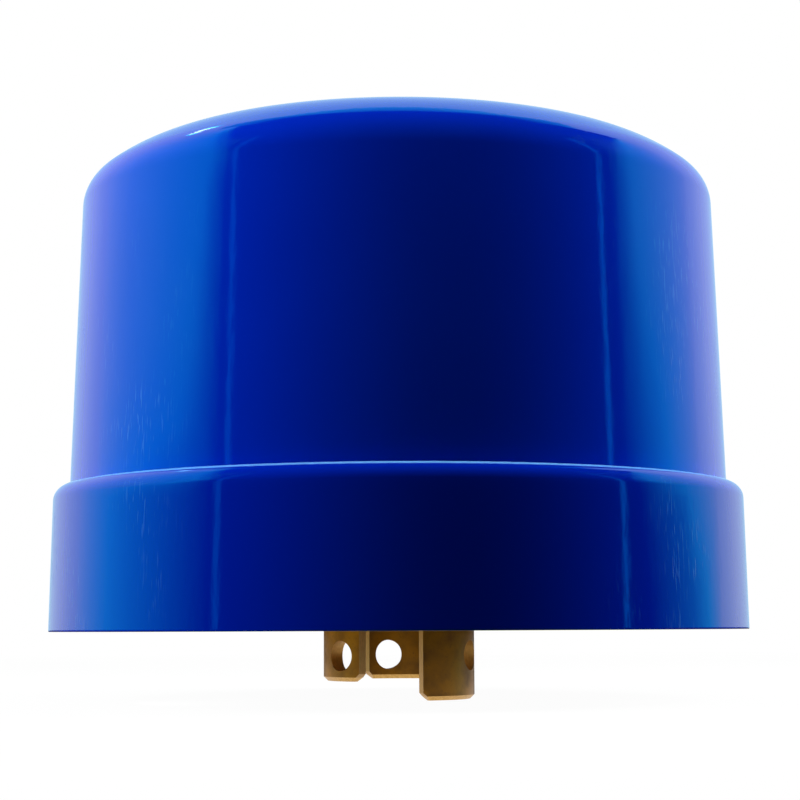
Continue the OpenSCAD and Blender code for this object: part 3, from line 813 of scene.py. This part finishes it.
# %% Slicing and wrapping a flat drawing
def sliced(flat, low, high, pitch, axis):
    """Cuts a flat drawing along even lines across one axis."""
    normal = Vector((1, 0, 0)) if axis == 0 else Vector((0, 1, 0))
    count = round((high - low) / pitch)
    for i in range(1, count):
        at = normal * (low + (high - low) * i / count)
        everything = flat.verts[:] + flat.edges[:] + flat.faces[:]
        bmesh.ops.bisect_plane(flat, geom=everything, plane_co=at, plane_no=normal)


def wrapped(name, flat, angle, half_t, materials, tip_z=-math.inf):
    """Wraps a flat drawing round the plug axis as two skins joined by a cut edge.

    Below tip_z the skins lean towards each other."""
    flat.verts.index_update()
    points = []
    for side in (1, -1):
        for vert in flat.verts:
            radius = BLADE_MID_R + side * (half_t - max(0.0, tip_z - vert.co.y))
            turn = math.radians(angle + vert.co.x)
            points.append((radius * math.cos(turn), radius * math.sin(turn), vert.co.y))
    count = len(flat.verts)
    outer = [tuple(v.index for v in face.verts) for face in flat.faces]
    inner = [tuple(count + i for i in reversed(face)) for face in outer]
    rim = []
    for edge in flat.edges:
        if len(edge.link_faces) == 1:
            loop = next(l for l in edge.link_faces[0].loops if l.edge == edge)
            a, b = loop.vert.index, loop.link_loop_next.vert.index
            rim.append((b, a, count + a, count + b))
    made = mesh_object(name, points, outer + inner + rim)
    for material in materials:
        made.data.materials.append(material)
    edge_slot = min(1, len(materials) - 1)
    for polygon in made.data.polygons[len(outer) + len(inner) :]:
        polygon.material_index = edge_slot
    flat.free()
    return made


# %% [markdown]
# ## Brass
# The blades are rolled brass that has dulled to a golden brown, with brighter metal where the
# stamping sheared it. One finish covers the rolled skins, clouded by tarnish and drawn into faint
# lines along the strip, and a second, lighter one covers the cut edges. The bevelled tips slide
# into a socket and are rubbed bright, so a third finish there is almost pure metal.

# %% Finish of the rolled skins
BRASSES = srgb(186, 124, 12), srgb(134, 88, 10)
SPECK_BROWN = srgb(110, 76, 30)

brass = Finish("blade_brass")
tarnish = brass.ramp(brass.noise(2.6, detail=4), 0.38, 0.68)
drawn = brass.noise(0.25, (1, 1, 9))
specks = brass.ramp(brass.noise(0.3, detail=1), 0.66, 0.72)
metal = brass.blend(tarnish, *BRASSES)
rolled_brass = brass.plastic(
    {
        "Base Color": brass.blend(0.35 * specks, metal, SPECK_BROWN),
        "Metallic": 0.45 - 0.2 * tarnish,
        "Roughness": 0.36 + 0.16 * tarnish,
        "Normal": brass.bump(drawn, 0.006),
    }
)

# %% Finishes of the cut edges and the tips
shear = Finish("blade_cut_edge")
torn = shear.noise(0.22, (1, 1, 0.35), 3)
cut_brass = shear.plastic(
    {
        "Base Color": shear.blend(torn, srgb(250, 196, 104), srgb(206, 150, 66)),
        "Metallic": 0.25 + 0.2 * torn,
        "Roughness": 0.36 + 0.2 * torn,
        "Normal": shear.bump(torn, 0.03),
    }
)

tip = Finish("blade_tip")
worn = tip.noise(0.3, detail=3)
tip_brass = tip.plastic(
    {
        "Base Color": tip.blend(worn, srgb(232, 186, 108), srgb(168, 120, 54)),
        "Metallic": 0.8 + 0.2 * worn,
        "Roughness": 0.3 + 0.2 * worn,
        "Normal": tip.bump(worn, 0.03),
    }
)

# %% The three blades
# Each blade has its angle on the circle, its hook's span in degrees and its reach below the rim.
BLADES = {
    "neutral_blade": (-20.0, 52.0, 8.2),
    "line_blade": (100.0, 41.0, 6.0),
    "load_blade": (-140.0, 41.0, 6.0),
}
BEND_PITCH = 2.0
SLICE_PITCH = 0.5
HOLE_SIDES = 48
BLADE_SHARP = 40
TIP_SLOT = 2


def blade_drawing(span, reach):
    """The flat blade with its detent hole, sliced so that it can bend."""
    flat = bmesh.new()
    outline = blade_outline(span, reach)
    hole = [(degrees_of(x), z) for x, z in arc((0, DETENT_Z), DETENT_R, 360, 0, HOLE_SIDES)[:-1]]
    for loop in (outline, hole):
        verts = [flat.verts.new((x, z, 0)) for x, z in loop]
        for i, vert in enumerate(verts):
            flat.edges.new((vert, verts[(i + 1) % len(verts)]))
    bmesh.ops.triangle_fill(flat, use_beauty=True, edges=flat.edges[:])
    sliced(flat, -span, SHOULDER_HALF, BEND_PITCH, 0)
    sliced(flat, -reach, TAIL_TOP, SLICE_PITCH, 1)
    bmesh.ops.recalc_face_normals(flat, faces=flat.faces[:])
    if flat.faces[:][0].normal.z < 0:
        bmesh.ops.reverse_faces(flat, faces=flat.faces[:])
    return flat


for name, (angle, span, reach) in BLADES.items():
    tip_z = TIP_BEVEL - reach
    drawing = blade_drawing(span, reach)
    finishes = [rolled_brass, cut_brass, tip_brass]
    blade = wrapped(name + "_strip", drawing, angle, BLADE_T / 2, finishes, tip_z)
    worked_in(blade, BLADE_SHARP)
    for polygon in blade.data.polygons:
        if polygon.center.z < tip_z * MM:
            polygon.material_index = TIP_SLOT
    ride(blade, "blade_brass", name)

# %% Slots in the base
SLOT_END_GAP = 0.06
SLOT_GAP = 0.05

slot_half = NECK_HALF + degrees_of(SLOT_END_GAP)
slot_low, slot_top = HUB_LOW - PAST, HUB_TOP + PAST
for angle, *_ in BLADES.values():
    flat = bmesh.new()
    corners = [(-slot_half, slot_low), (slot_half, slot_low)]
    corners += [(slot_half, slot_top), (-slot_half, slot_top)]
    flat.faces.new([flat.verts.new((x, z, 0)) for x, z in corners])
    sliced(flat, -slot_half, slot_half, BEND_PITCH, 0)
    cut(base, wrapped("slot", flat, angle, BLADE_T / 2 + SLOT_GAP, [black_plastic]))
print("base:", len(base.data.polygons), "faces with its slots")

# %% Posts for the circuit board
POST_R = 3.0
POST_SINK = 0.1
POST_HOLE_R = 1.25
POST_HOLE_L = 6.0
POST_ANGLE = 60
BOARD_Z = 13.2
BOARD_GAP = 3.0
POST_INSET = 7.3
POST_COUNT = 3
POST_SIDES = 40

hole_low, post_low = BOARD_Z - POST_HOLE_L, BASE_TOP - POST_SINK
post_section = [(0, hole_low), (POST_HOLE_R, hole_low), (POST_HOLE_R, BOARD_Z)]
post_section += [(POST_R, BOARD_Z), (POST_R, post_low), (0, post_low)]
post = turned_piece("post", post_section, black_plastic, POST_SIDES)
values = {
    "Count": POST_COUNT,
    "Radius": (cap_r(BOARD_Z, WALL_T) - BOARD_GAP - POST_INSET) * MM,
    "First angle": math.radians(POST_ANGLE),
    "Material": black_plastic,
}
join(base, run_tree(post, ring_of, values))
ride(base, "base_black", "base")

# %% [markdown]
# ## The foam gasket
# A ring of closed-cell foam under the base seals against the socket. Foam can't keep a sharp
# corner, so its section is rounded, and its skin is broken by small open cells. Cloth simulation
# could puff it up, but a die-cut ring has no slack, so it is turned. The cells are a Voronoi pattern
# that dents the surface and darkens the colour in each dent: painted shade in the open cells.

# %% The gasket
GASKET_IN_R = 17.0
GASKET_OUT_R = 29.0
GASKET_LOW = 0.6
FOAM_ROUND = 0.7
CELL_SIZE = 0.9
GASKET_SIDES = 128

foam = Finish("gasket_foam")
cells = foam.node(
    "ShaderNodeTexVoronoi",
    {},
    {"Vector": foam.place(), "Scale": 1 / (CELL_SIZE * MM)},
    out="Distance",
)
# The cell pattern dents the surface, and it also darkens the colour in the dents as painted shade.
pore_dents_and_shade = foam.ramp(cells, 0.1, 0.42)
wear = foam.noise(6, detail=3)
foam_rubber = foam.plastic(
    {
        "Base Color": foam.blend(pore_dents_and_shade * (0.7 + 0.3 * wear), srgb(22, 22, 24), srgb(56, 57, 60)),
        "Roughness": 0.86 + 0.1 * wear,
        "Normal": foam.bump(pore_dents_and_shade, 0.12),
    }
)
inner, outer = GASKET_IN_R + FOAM_ROUND, GASKET_OUT_R - FOAM_ROUND
low, high = GASKET_LOW + FOAM_ROUND, BASE_LOW - FOAM_ROUND
gasket_section = arc((outer, high), FOAM_ROUND, 90, 0, ROUND_STEPS)
gasket_section += arc((outer, low), FOAM_ROUND, 0, -90, ROUND_STEPS)
gasket_section += arc((inner, low), FOAM_ROUND, -90, -180, ROUND_STEPS)
gasket_section += arc((inner, high), FOAM_ROUND, 180, 90, ROUND_STEPS)
gasket = turned_piece("gasket_ring", gasket_section, foam_rubber, GASKET_SIDES, loop=True)
ride(gasket, "gasket_foam", "gasket")

# %% [markdown]
# ## Screws
# Three pan-head screws hold the cover to the base from below. A thread could be a swept helix, but
# it is hidden in the bosses, so plain ridges stand for it. One screw is turned with its rounded head
# and these ridges, a cross is cut into it, and the ring tree sets it three times.

# %% Finish of the screws
zinc = Finish("screw_steel")
plated = zinc.noise(1.2, detail=4)
screw_steel = zinc.plastic(
    {
        "Base Color": zinc.blend(plated, srgb(168, 170, 174), srgb(204, 205, 204)),
        "Metallic": 1.0,
        "Roughness": 0.26 + 0.2 * plated,
        "Normal": zinc.bump(plated, 0.01),
    }
)

# %% The cover screws
HEAD_R = 2.8
HEAD_T = 1.6
SHANK_R = 1.5
SHANK_L = 11.0
HEAD_ROUND = 0.8
HEAD_STEPS = 7
POINT_R = 0.6
POINT_L = 1.2
THREAD_START = 1.4
THREAD_PITCH = 0.6
THREAD_DEPTH = 0.25
THREAD_TURNS = 14
SCREW_SIDES = 40

seat, end = HEAD_HOLE_TOP, HEAD_HOLE_TOP + SHANK_L
root_r, head_low = SHANK_R - THREAD_DEPTH, HEAD_HOLE_TOP - HEAD_T
screw_section = [(0, end), (POINT_R, end), (SHANK_R, end - POINT_L)]
for i in range(THREAD_TURNS):
    z = end - THREAD_START - THREAD_PITCH * i
    screw_section += [(SHANK_R, z), (root_r, z - THREAD_PITCH / 2)]
screw_section += [(root_r, seat), (HEAD_R, seat)]
head_edge_c = (HEAD_R - HEAD_ROUND, head_low + HEAD_ROUND)
screw_section += arc(head_edge_c, HEAD_ROUND, 0, -90, HEAD_STEPS)
screw_section += [(0, head_low)]
screw = turned_piece("screw", screw_section, screw_steel, SCREW_SIDES)
print("screw:", len(screw.data.polygons), "faces before its cross")

# %% The cross in the screws' heads
CROSS_L = 3.4
CROSS_W = 0.8
CROSS_T = 0.8

cross_low, cross_top = head_low - PAST, head_low + CROSS_T
for x, y in [(CROSS_L / 2, CROSS_W / 2), (CROSS_W / 2, CROSS_L / 2)]:
    groove = [(-x, cross_low), (x, cross_low), (x, cross_top), (-x, cross_top)]
    cut(screw, prism("cross_cutter", groove, -y, y))
screws = at_bosses(screw, screw_steel)
screws.name = "cover_screw_set"
ride(screws, "screw_steel", "cover_screws")

# %% [markdown]
# ## The photocell behind the window
# The light sensor is a small ceramic disc with a winding track of light-sensitive film between two
# metal combs, under a clear lacquer. The track is what one sees through the window, so it is a thin
# ribbon swept along a path, and the disc below it is turned with a soft edge.

# %% Finishes of the photocell
ceramic = Finish("cell_ceramic")
glaze = ceramic.noise(1.5, detail=3)
cell_ceramic = ceramic.plastic(
    {
        "Base Color": ceramic.blend(glaze, srgb(206, 172, 120), srgb(222, 192, 142)),
        "Roughness": 0.16 + 0.12 * glaze,
        "Coat Weight": 0.6 + 0.3 * glaze,
        "Normal": ceramic.bump(glaze, 0.01),
    }
)
film = Finish("cell_film")
streak = film.noise(0.6, detail=3)
cell_film = film.plastic(
    {
        "Base Color": film.blend(streak, srgb(150, 52, 24), srgb(184, 74, 34)),
        "Roughness": 0.2 + 0.2 * streak,
        "Normal": film.bump(streak, 0.01),
    }
)

# %% The photocell's disc
CELL_R = 6.0
CELL_T = 2.6
CELL_ROUND = 0.3
CELL_SIDES = 72

round_r = CELL_R - CELL_ROUND
disc_section = [(0, 0)] + arc((round_r, -CELL_ROUND), CELL_ROUND, 90, 0, ROUND_STEPS)
disc_section += arc((round_r, CELL_ROUND - CELL_T), CELL_ROUND, 0, -90, ROUND_STEPS)
disc_section += [(0, -CELL_T)]
disc = turned_piece("photocell_disc", disc_section, cell_ceramic, CELL_SIDES)
print("photocell disc:", len(disc.data.polygons), "faces")

# %% The tree that sweeps the track
sweep = new_tree(
    "ribbon_on_a_path",
    {"Width": "NodeSocketFloat", "Height": "NodeSocketFloat", "Material": "NodeSocketMaterial"},
)
given = step(sweep, "NodeGroupInput")
path = step(sweep, "GeometryNodeMeshToCurve", {}, {0: given[0]})
flat_path = step(sweep, "GeometryNodeSetCurveNormal", {"mode": "Z_UP"}, {0: path[0]})
profile = step(
    sweep,
    "GeometryNodeCurvePrimitiveQuadrilateral",
    {"mode": "RECTANGLE"},
    {"Width": given["Width"], "Height": given["Height"]},
)
ribbon = step(
    sweep,
    "GeometryNodeCurveToMesh",
    {},
    {0: flat_path[0], 1: profile[0], "Fill Caps": True},
)
close_tree(sweep, ribbon[0], given["Material"])
print("sweep tree:", len(sweep.nodes), "nodes")

# %% The track
TRACK_W = 0.55
TRACK_T = 0.06
TRACK_Z = 0.02
TRACK_MARGIN = 1.0
ROW_PITCH = 1.3
ROWS = 7

route = []
for row in range(ROWS):
    y = (row - (ROWS - 1) / 2) * ROW_PITCH
    half = math.sqrt((CELL_R - TRACK_MARGIN) ** 2 - y**2) - ROW_PITCH / 2
    ends = [(-half, y), (half, y)]
    route += ends if row % 2 == 0 else ends[::-1]
track = mesh_object(
    "photocell_track",
    [(x, y, TRACK_Z) for x, y in route],
    edges=[(i, i + 1) for i in range(len(route) - 1)],
)
values = {"Width": TRACK_W * MM, "Height": TRACK_T * MM, "Material": cell_film}
run_tree(track, sweep, values)
print("photocell track:", len(track.data.polygons), "faces")

# %% Setting the cell behind the window
cell_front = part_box("photocell")[1].y / MM - TRACK_T
to_window = Matrix.Translation(Vector((0, cell_front, WINDOW_Z)) * MM)
facing_out = Matrix.Rotation(-math.pi / 2, 4, "X")
for piece in (disc, track):
    piece.data.transform(to_window @ facing_out)
ride(disc, "cell_ceramic", "photocell")
ride(track, "cell_ceramic")

# %% [markdown]
# ## The circuit inside
# The rest is sealed in and keeps its CAD shape: the board and its parts are already right. Each
# could have a plain colour, but none of the real ones is so even. So each gets a mottled finish in
# its own two tones, such as the board's green, the relay's blue case, the tan lacquer of the
# resistors and the dull tin of the leads.

# %% Finishes of the circuit
MOTTLE_ROUGH = 0.15
MOTTLE_DEPTH = 0.01


def small_finish(name, dark, light, size, rough, metallic=0.0):
    """A mottled finish between two colours, with a roughness of its own and a slight bump."""
    finish = Finish(name)
    mottle = finish.noise(size, detail=3)
    return finish.plastic(
        {
            "Base Color": finish.blend(mottle, srgb(*dark), srgb(*light)),
            "Metallic": metallic,
            "Roughness": rough + MOTTLE_ROUGH * mottle,
            "Normal": finish.bump(mottle, MOTTLE_DEPTH),
        }
    )


# Each recipe has its name, two colours, the size of its spots, its roughness and whether it is metal.
CIRCUIT = {
    "circuit_board": ("board_green", (14, 74, 40), (28, 98, 56), 0.6, 0.32),
    "board_screws": ("board_screw_steel", (160, 162, 166), (200, 201, 202), 1.0, 0.28, 1.0),
    "blade_solder": ("solder_tin", (168, 170, 172), (206, 207, 206), 0.7, 0.3, 1.0),
    "relay": ("relay_case", (24, 62, 132), (36, 78, 152), 3.0, 0.34),
    "film_capacitor": ("film_case", (190, 140, 34), (210, 160, 48), 2.5, 0.36),
    "varistor": ("varistor_coat", (40, 84, 140), (54, 100, 158), 1.6, 0.3),
    "smoothing_capacitor": ("can_sleeve", (20, 22, 44), (32, 34, 60), 4.0, 0.3),
    "timing_capacitor": ("small_can_sleeve", (20, 22, 44), (32, 34, 60), 3.0, 0.3),
    "bridge_diodes": ("diode_black", (22, 22, 23), (36, 36, 37), 0.8, 0.45),
    "freewheel_diode": ("freewheel_black", (22, 22, 23), (36, 36, 37), 0.8, 0.45),
    "zener_diode": ("zener_glass", (150, 70, 40), (176, 92, 56), 1.0, 0.12),
    "transistor": ("transistor_black", (20, 20, 21), (32, 32, 33), 0.6, 0.5),
    "power_resistor": ("resistor_grey", (126, 140, 150), (148, 160, 168), 1.2, 0.5),
    "bias_resistors": ("resistor_tan", (186, 156, 110), (206, 178, 134), 0.9, 0.45),
    "photocell_holder": ("holder_black", (24, 24, 26), (36, 36, 38), 0.5, 0.5),
    "photocell_leads": ("wire_tin", (160, 162, 164), (198, 199, 198), 0.8, 0.3, 1.0),
}
for node, recipe in CIRCUIT.items():
    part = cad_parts[node]
    part.data.materials.clear()
    part.data.materials.append(small_finish(*recipe))
print("circuit:", len(CIRCUIT), "nodes with a finish")

# %% [markdown]
# ## Floor, backdrop and lights
# The picture is a plain product shot: white all round, a tall light box at each side, a white wall
# behind and a dark room behind the camera. Glossy plastic is drawn by what it reflects, so the
# boxes have two parts: a lamp that lights the surface softly, and a card that only reflections
# see. A card's brightness is a level at each of its points, so its edges can be hard or soft. A
# flat lamp overhead lights the shoulder, a weak one over the camera lifts the front of the cap, and
# two small ones under the rim stand for the light that a white table throws on the blades. The wall
# and the floor show as plain white, and the floor keeps a faint shadow.

# %% White stage
NEAR, FAR = 120.0, 420.0
UNDER_R, UNDER_END_R = 30.0, 38.0
CENTRE_X, FLANK_X = 300.0, 650.0
WHITE = (1, 1, 1, 1)
BLACK = (0, 0, 0, 1)
PAPERS = srgb(24, 24, 24), srgb(232, 232, 232)


def white_stage(name, share, kinds, under=0.0, centre=WHITE):
    """White to some kinds of ray. The rest of it takes shadows like paper.

    Reflections also see it under the object, by a share, and with a tint at the centre."""
    finish = Finish(name)
    glossy = finish.rays("Glossy")
    away = finish.distance()
    far = finish.fade(away, NEAR, FAR, share)
    below = finish.fade(away, UNDER_R, UNDER_END_R, under, 0.0)
    middle = finish.fade(finish.distance((1, 0, 0)), CENTRE_X, FLANK_X, 1.0, 0.0)
    white = finish.rays(*kinds) + glossy * below
    paper = finish.node(
        "ShaderNodeBsdfPrincipled",
        {},
        {"Base Color": finish.blend(white, *PAPERS), "Roughness": 1.0},
    )
    tint = finish.blend(glossy * middle, WHITE, centre)
    glow = finish.node("ShaderNodeEmission", {}, {"Color": tint, "Strength": 1.0})
    mixed = finish.node("ShaderNodeMixShader", {}, {0: far * white, 1: paper, 2: glow})
    finish.node("ShaderNodeOutputMaterial", {}, {"Surface": mixed})
    print("stage", name, len(finish.tree.nodes), "nodes")
    return finish.material


# %% Sheets round the object
SHEET_R = 950.0


def sheet(name, rows, material, radius=SHEET_R):
    """A sheet round the object from rows of height, turns and levels.

    Turn 0 is the camera's side and + is to its right."""
    points, levels = [], []
    for height, turns, row_levels in rows:
        for turn, level in zip(turns, row_levels):
            a = math.radians(turn)
            points.append((radius * math.sin(a), -radius * math.cos(a), height))
            levels.append(level)
    wide = len(rows[0][1])
    faces = [
        (r * wide + c, r * wide + c + 1, (r + 1) * wide + c + 1, (r + 1) * wide + c)
        for r in range(len(rows) - 1)
        for c in range(wide - 1)
    ]
    made = mesh_object(name, points, faces)
    made.data.attributes.new("level", "FLOAT", "POINT").data.foreach_set("value", levels)
    made.data.materials.append(material)
    return made


# %% Floor and backdrop
FLOOR_Z = cad_box[0][2] / MM
FLOOR_HALF = 3000.0
FLOOR_SHARE = 0.97
WALL_TOP = 1400
WALL_FROM, WALL_TO, WALL_STEP = 122, 238, 4
WALL_TURNS = list(range(WALL_FROM, WALL_TO + 1, WALL_STEP))
WALL_TINT = (0.55, 0.85, 1, 1)
SEEN = ("Camera", "Transmission")

floor_corners = [(-1, -1), (1, -1), (1, 1), (-1, 1)]
floor = mesh_object(
    "floor",
    [(x * FLOOR_HALF, y * FLOOR_HALF, FLOOR_Z) for x, y in floor_corners],
    [(0, 1, 2, 3)],
)
floor.data.materials.append(white_stage("floor_white", FLOOR_SHARE, SEEN, under=1.0))
wall_rows = [(height, WALL_TURNS, [1] * len(WALL_TURNS)) for height in (FLOOR_Z, WALL_TOP)]
wall_white = white_stage("backdrop_white", 1.0, (*SEEN, "Glossy"), centre=WALL_TINT)
sheet("backdrop", wall_rows, wall_white)
print("floor at", FLOOR_Z, "mm")

# %% Cards that show in reflections
PALE = (0.8, 0.84, 0.84, 1)


def card(name, rows, strength, tint, radius=SHEET_R):
    """A sheet that only reflections see. Level 1 is its tint, and level 2 is pale."""
    finish = Finish(name)
    level = finish.node("ShaderNodeAttribute", {"attribute_name": "level"}, out="Fac")
    tinted = finish.blend(level, BLACK, tint)
    glow = finish.node(
        "ShaderNodeEmission",
        {},
        {"Color": finish.blend(level - 1, tinted, PALE), "Strength": strength},
    )
    finish.node("ShaderNodeOutputMaterial", {}, {"Surface": glow})
    made = sheet(name, rows, finish.material, radius)
    print("card", name, len(made.data.polygons), "faces")
    made.visible_camera = False
    made.visible_diffuse = False
    made.visible_shadow = False


# %% Light boxes
BOX_TINT = (0.08, 0.88, 1, 1)
BOX_BACK = 124
BOX_LEVELS = (0, 0.5, 1, 2)
LEFT_STRENGTH = 1.25
RIGHT_STRENGTH = 1.1


def leaning_box(name, edges, back, strength):
    """A light box with a soft leaning edge.

    At each height the edges give where it starts, where it is half lit and where it is full."""
    rows = [(height, (*turns, back), BOX_LEVELS) for height, *turns in edges]
    card(name, rows, strength, BOX_TINT)


LEFT_EDGES = [
    (FLOOR_Z, -60, -80, -104),
    (100, -60, -80, -104),
    (130, -61, -75, -95),
    (162, -61, -70, -79),
    (235, -61, -68, -73),
    (307, -61, -66, -70),
    (330, -58, -62.5, -67),
    (470, -60, -65, -70),
    (640, -63, -68.5, -74),
    (830, -68, -74, -80),
    (1050, -75, -81, -87),
    (1290, -85, -92, -99),
    (1500, -98, -105, -112),
    (1640, -113, -118, -123),
]
RIGHT_EDGES = [
    (FLOOR_Z, 84, 106, 116),
    (45, 84, 105, 114),
    (85, 82, 101, 107),
    (105, 82, 92, 104),
    (155, 80, 90.5, 102),
    (228, 80, 87, 93),
    (300, 80, 85.5, 90),
    (318, 80, 84, 88),
    (430, 82, 86.5, 91),
    (560, 85, 90, 95),
    (690, 90, 95, 100),
    (815, 96, 101, 106),
    (930, 104, 109, 114),
    (1010, 114, 118, 122),
]
leaning_box("left_box", LEFT_EDGES, -BOX_BACK, LEFT_STRENGTH)
leaning_box("right_box", RIGHT_EDGES, BOX_BACK, RIGHT_STRENGTH)

# %% Upper end of the backdrop
FADE_TOP = 2100
FADE_STRENGTH = 0.8

fade_rows = [
    (height, WALL_TURNS, [level] * len(WALL_TURNS))
    for height, level in ((WALL_TOP, 1), (FADE_TOP, 0))
]
card("backdrop_fade", fade_rows, FADE_STRENGTH, BOX_TINT)

# %% Thin strips and the glint on the shoulder
NEARER_R = SHEET_R - 10
STRIP_TINT = (0.03, 0.45, 1, 1)
STRIP_TOP = 900
STRIP_LEVELS = (0, 1, 0)
GLINT_TURNS = (-150, -144, -136, -130)
GLINT_LEVELS = (0, 2, 2, 0)
GLINT_HEIGHTS = (1080, 1160)
GLINT_STRENGTH = 9.0


def strip(name, turn, half, strength):
    """A thin upright light."""
    turns = (turn - half, turn, turn + half)
    rows = [(height, turns, STRIP_LEVELS) for height in (FLOOR_Z, STRIP_TOP)]
    card(name, rows, strength, STRIP_TINT, NEARER_R)


# Each strip has its turn, half its width in degrees and its strength.
STRIPS = {"left_strip": (-57.5, 1.4, 1.2), "right_strip": (74.2, 1.3, 1.7)}
for name, setting in STRIPS.items():
    strip(name, *setting)
glint_rows = [(height, GLINT_TURNS, GLINT_LEVELS) for height in GLINT_HEIGHTS]
card("shoulder_glint", glint_rows, GLINT_STRENGTH, BOX_TINT, NEARER_R)


# %% Lamps
AIM = Vector((0, 0, 25)) * MM


def lamp(name, turn, back, height, size, power):
    """A soft square lamp aimed at the object, left out of reflections."""
    data = bpy.data.lights.new(name, "AREA")
    data.size = size * MM
    data.energy = power
    made = new_object(name, data)
    a = math.radians(turn)
    made.location = Vector((back * math.sin(a), -back * math.cos(a), height)) * MM
    made.rotation_euler = (AIM - made.location).to_track_quat("-Z", "Y").to_euler()
    made.visible_glossy = False
    made.visible_camera = False


# Each lamp has its turn, its distance from the axis, its height, its size and its power.
LAMPS = {
    "left_lamp": (-79, 250, 150, 175, 1.31),
    "right_lamp": (98.5, 250, 170, 175, 1.57),
    "top_lamp": (180, 4, 92, 150, 0.048),
    "front_lamp": (0, 70, 100, 60, 0.0105),
    "under_left_lamp": (-64, 37, -3.5, 6, 0.0052),
    "under_right_lamp": (62, 37, -3.5, 6, 0.0012),
}
for name, setting in LAMPS.items():
    lamp(name, *setting)
print("lamps:", list(LAMPS))

# %% World
ROOM_LIGHT = 0.02
ROOM_REFLECTED = 0.006

world = bpy.data.worlds.new("studio")
bpy.context.scene.world = world
world.use_nodes = True
room = Finish("studio", world.node_tree)
white = room.rays(*SEEN)
dark_room = ROOM_LIGHT - (ROOM_LIGHT - ROOM_REFLECTED) * room.rays("Glossy")
level = white + (1 - white) * dark_room
sky = room.node("ShaderNodeBackground", {}, {"Color": WHITE, "Strength": level})
room.node("ShaderNodeOutputWorld", {}, {"Surface": sky})
print("world:", len(world.node_tree.nodes), "nodes")
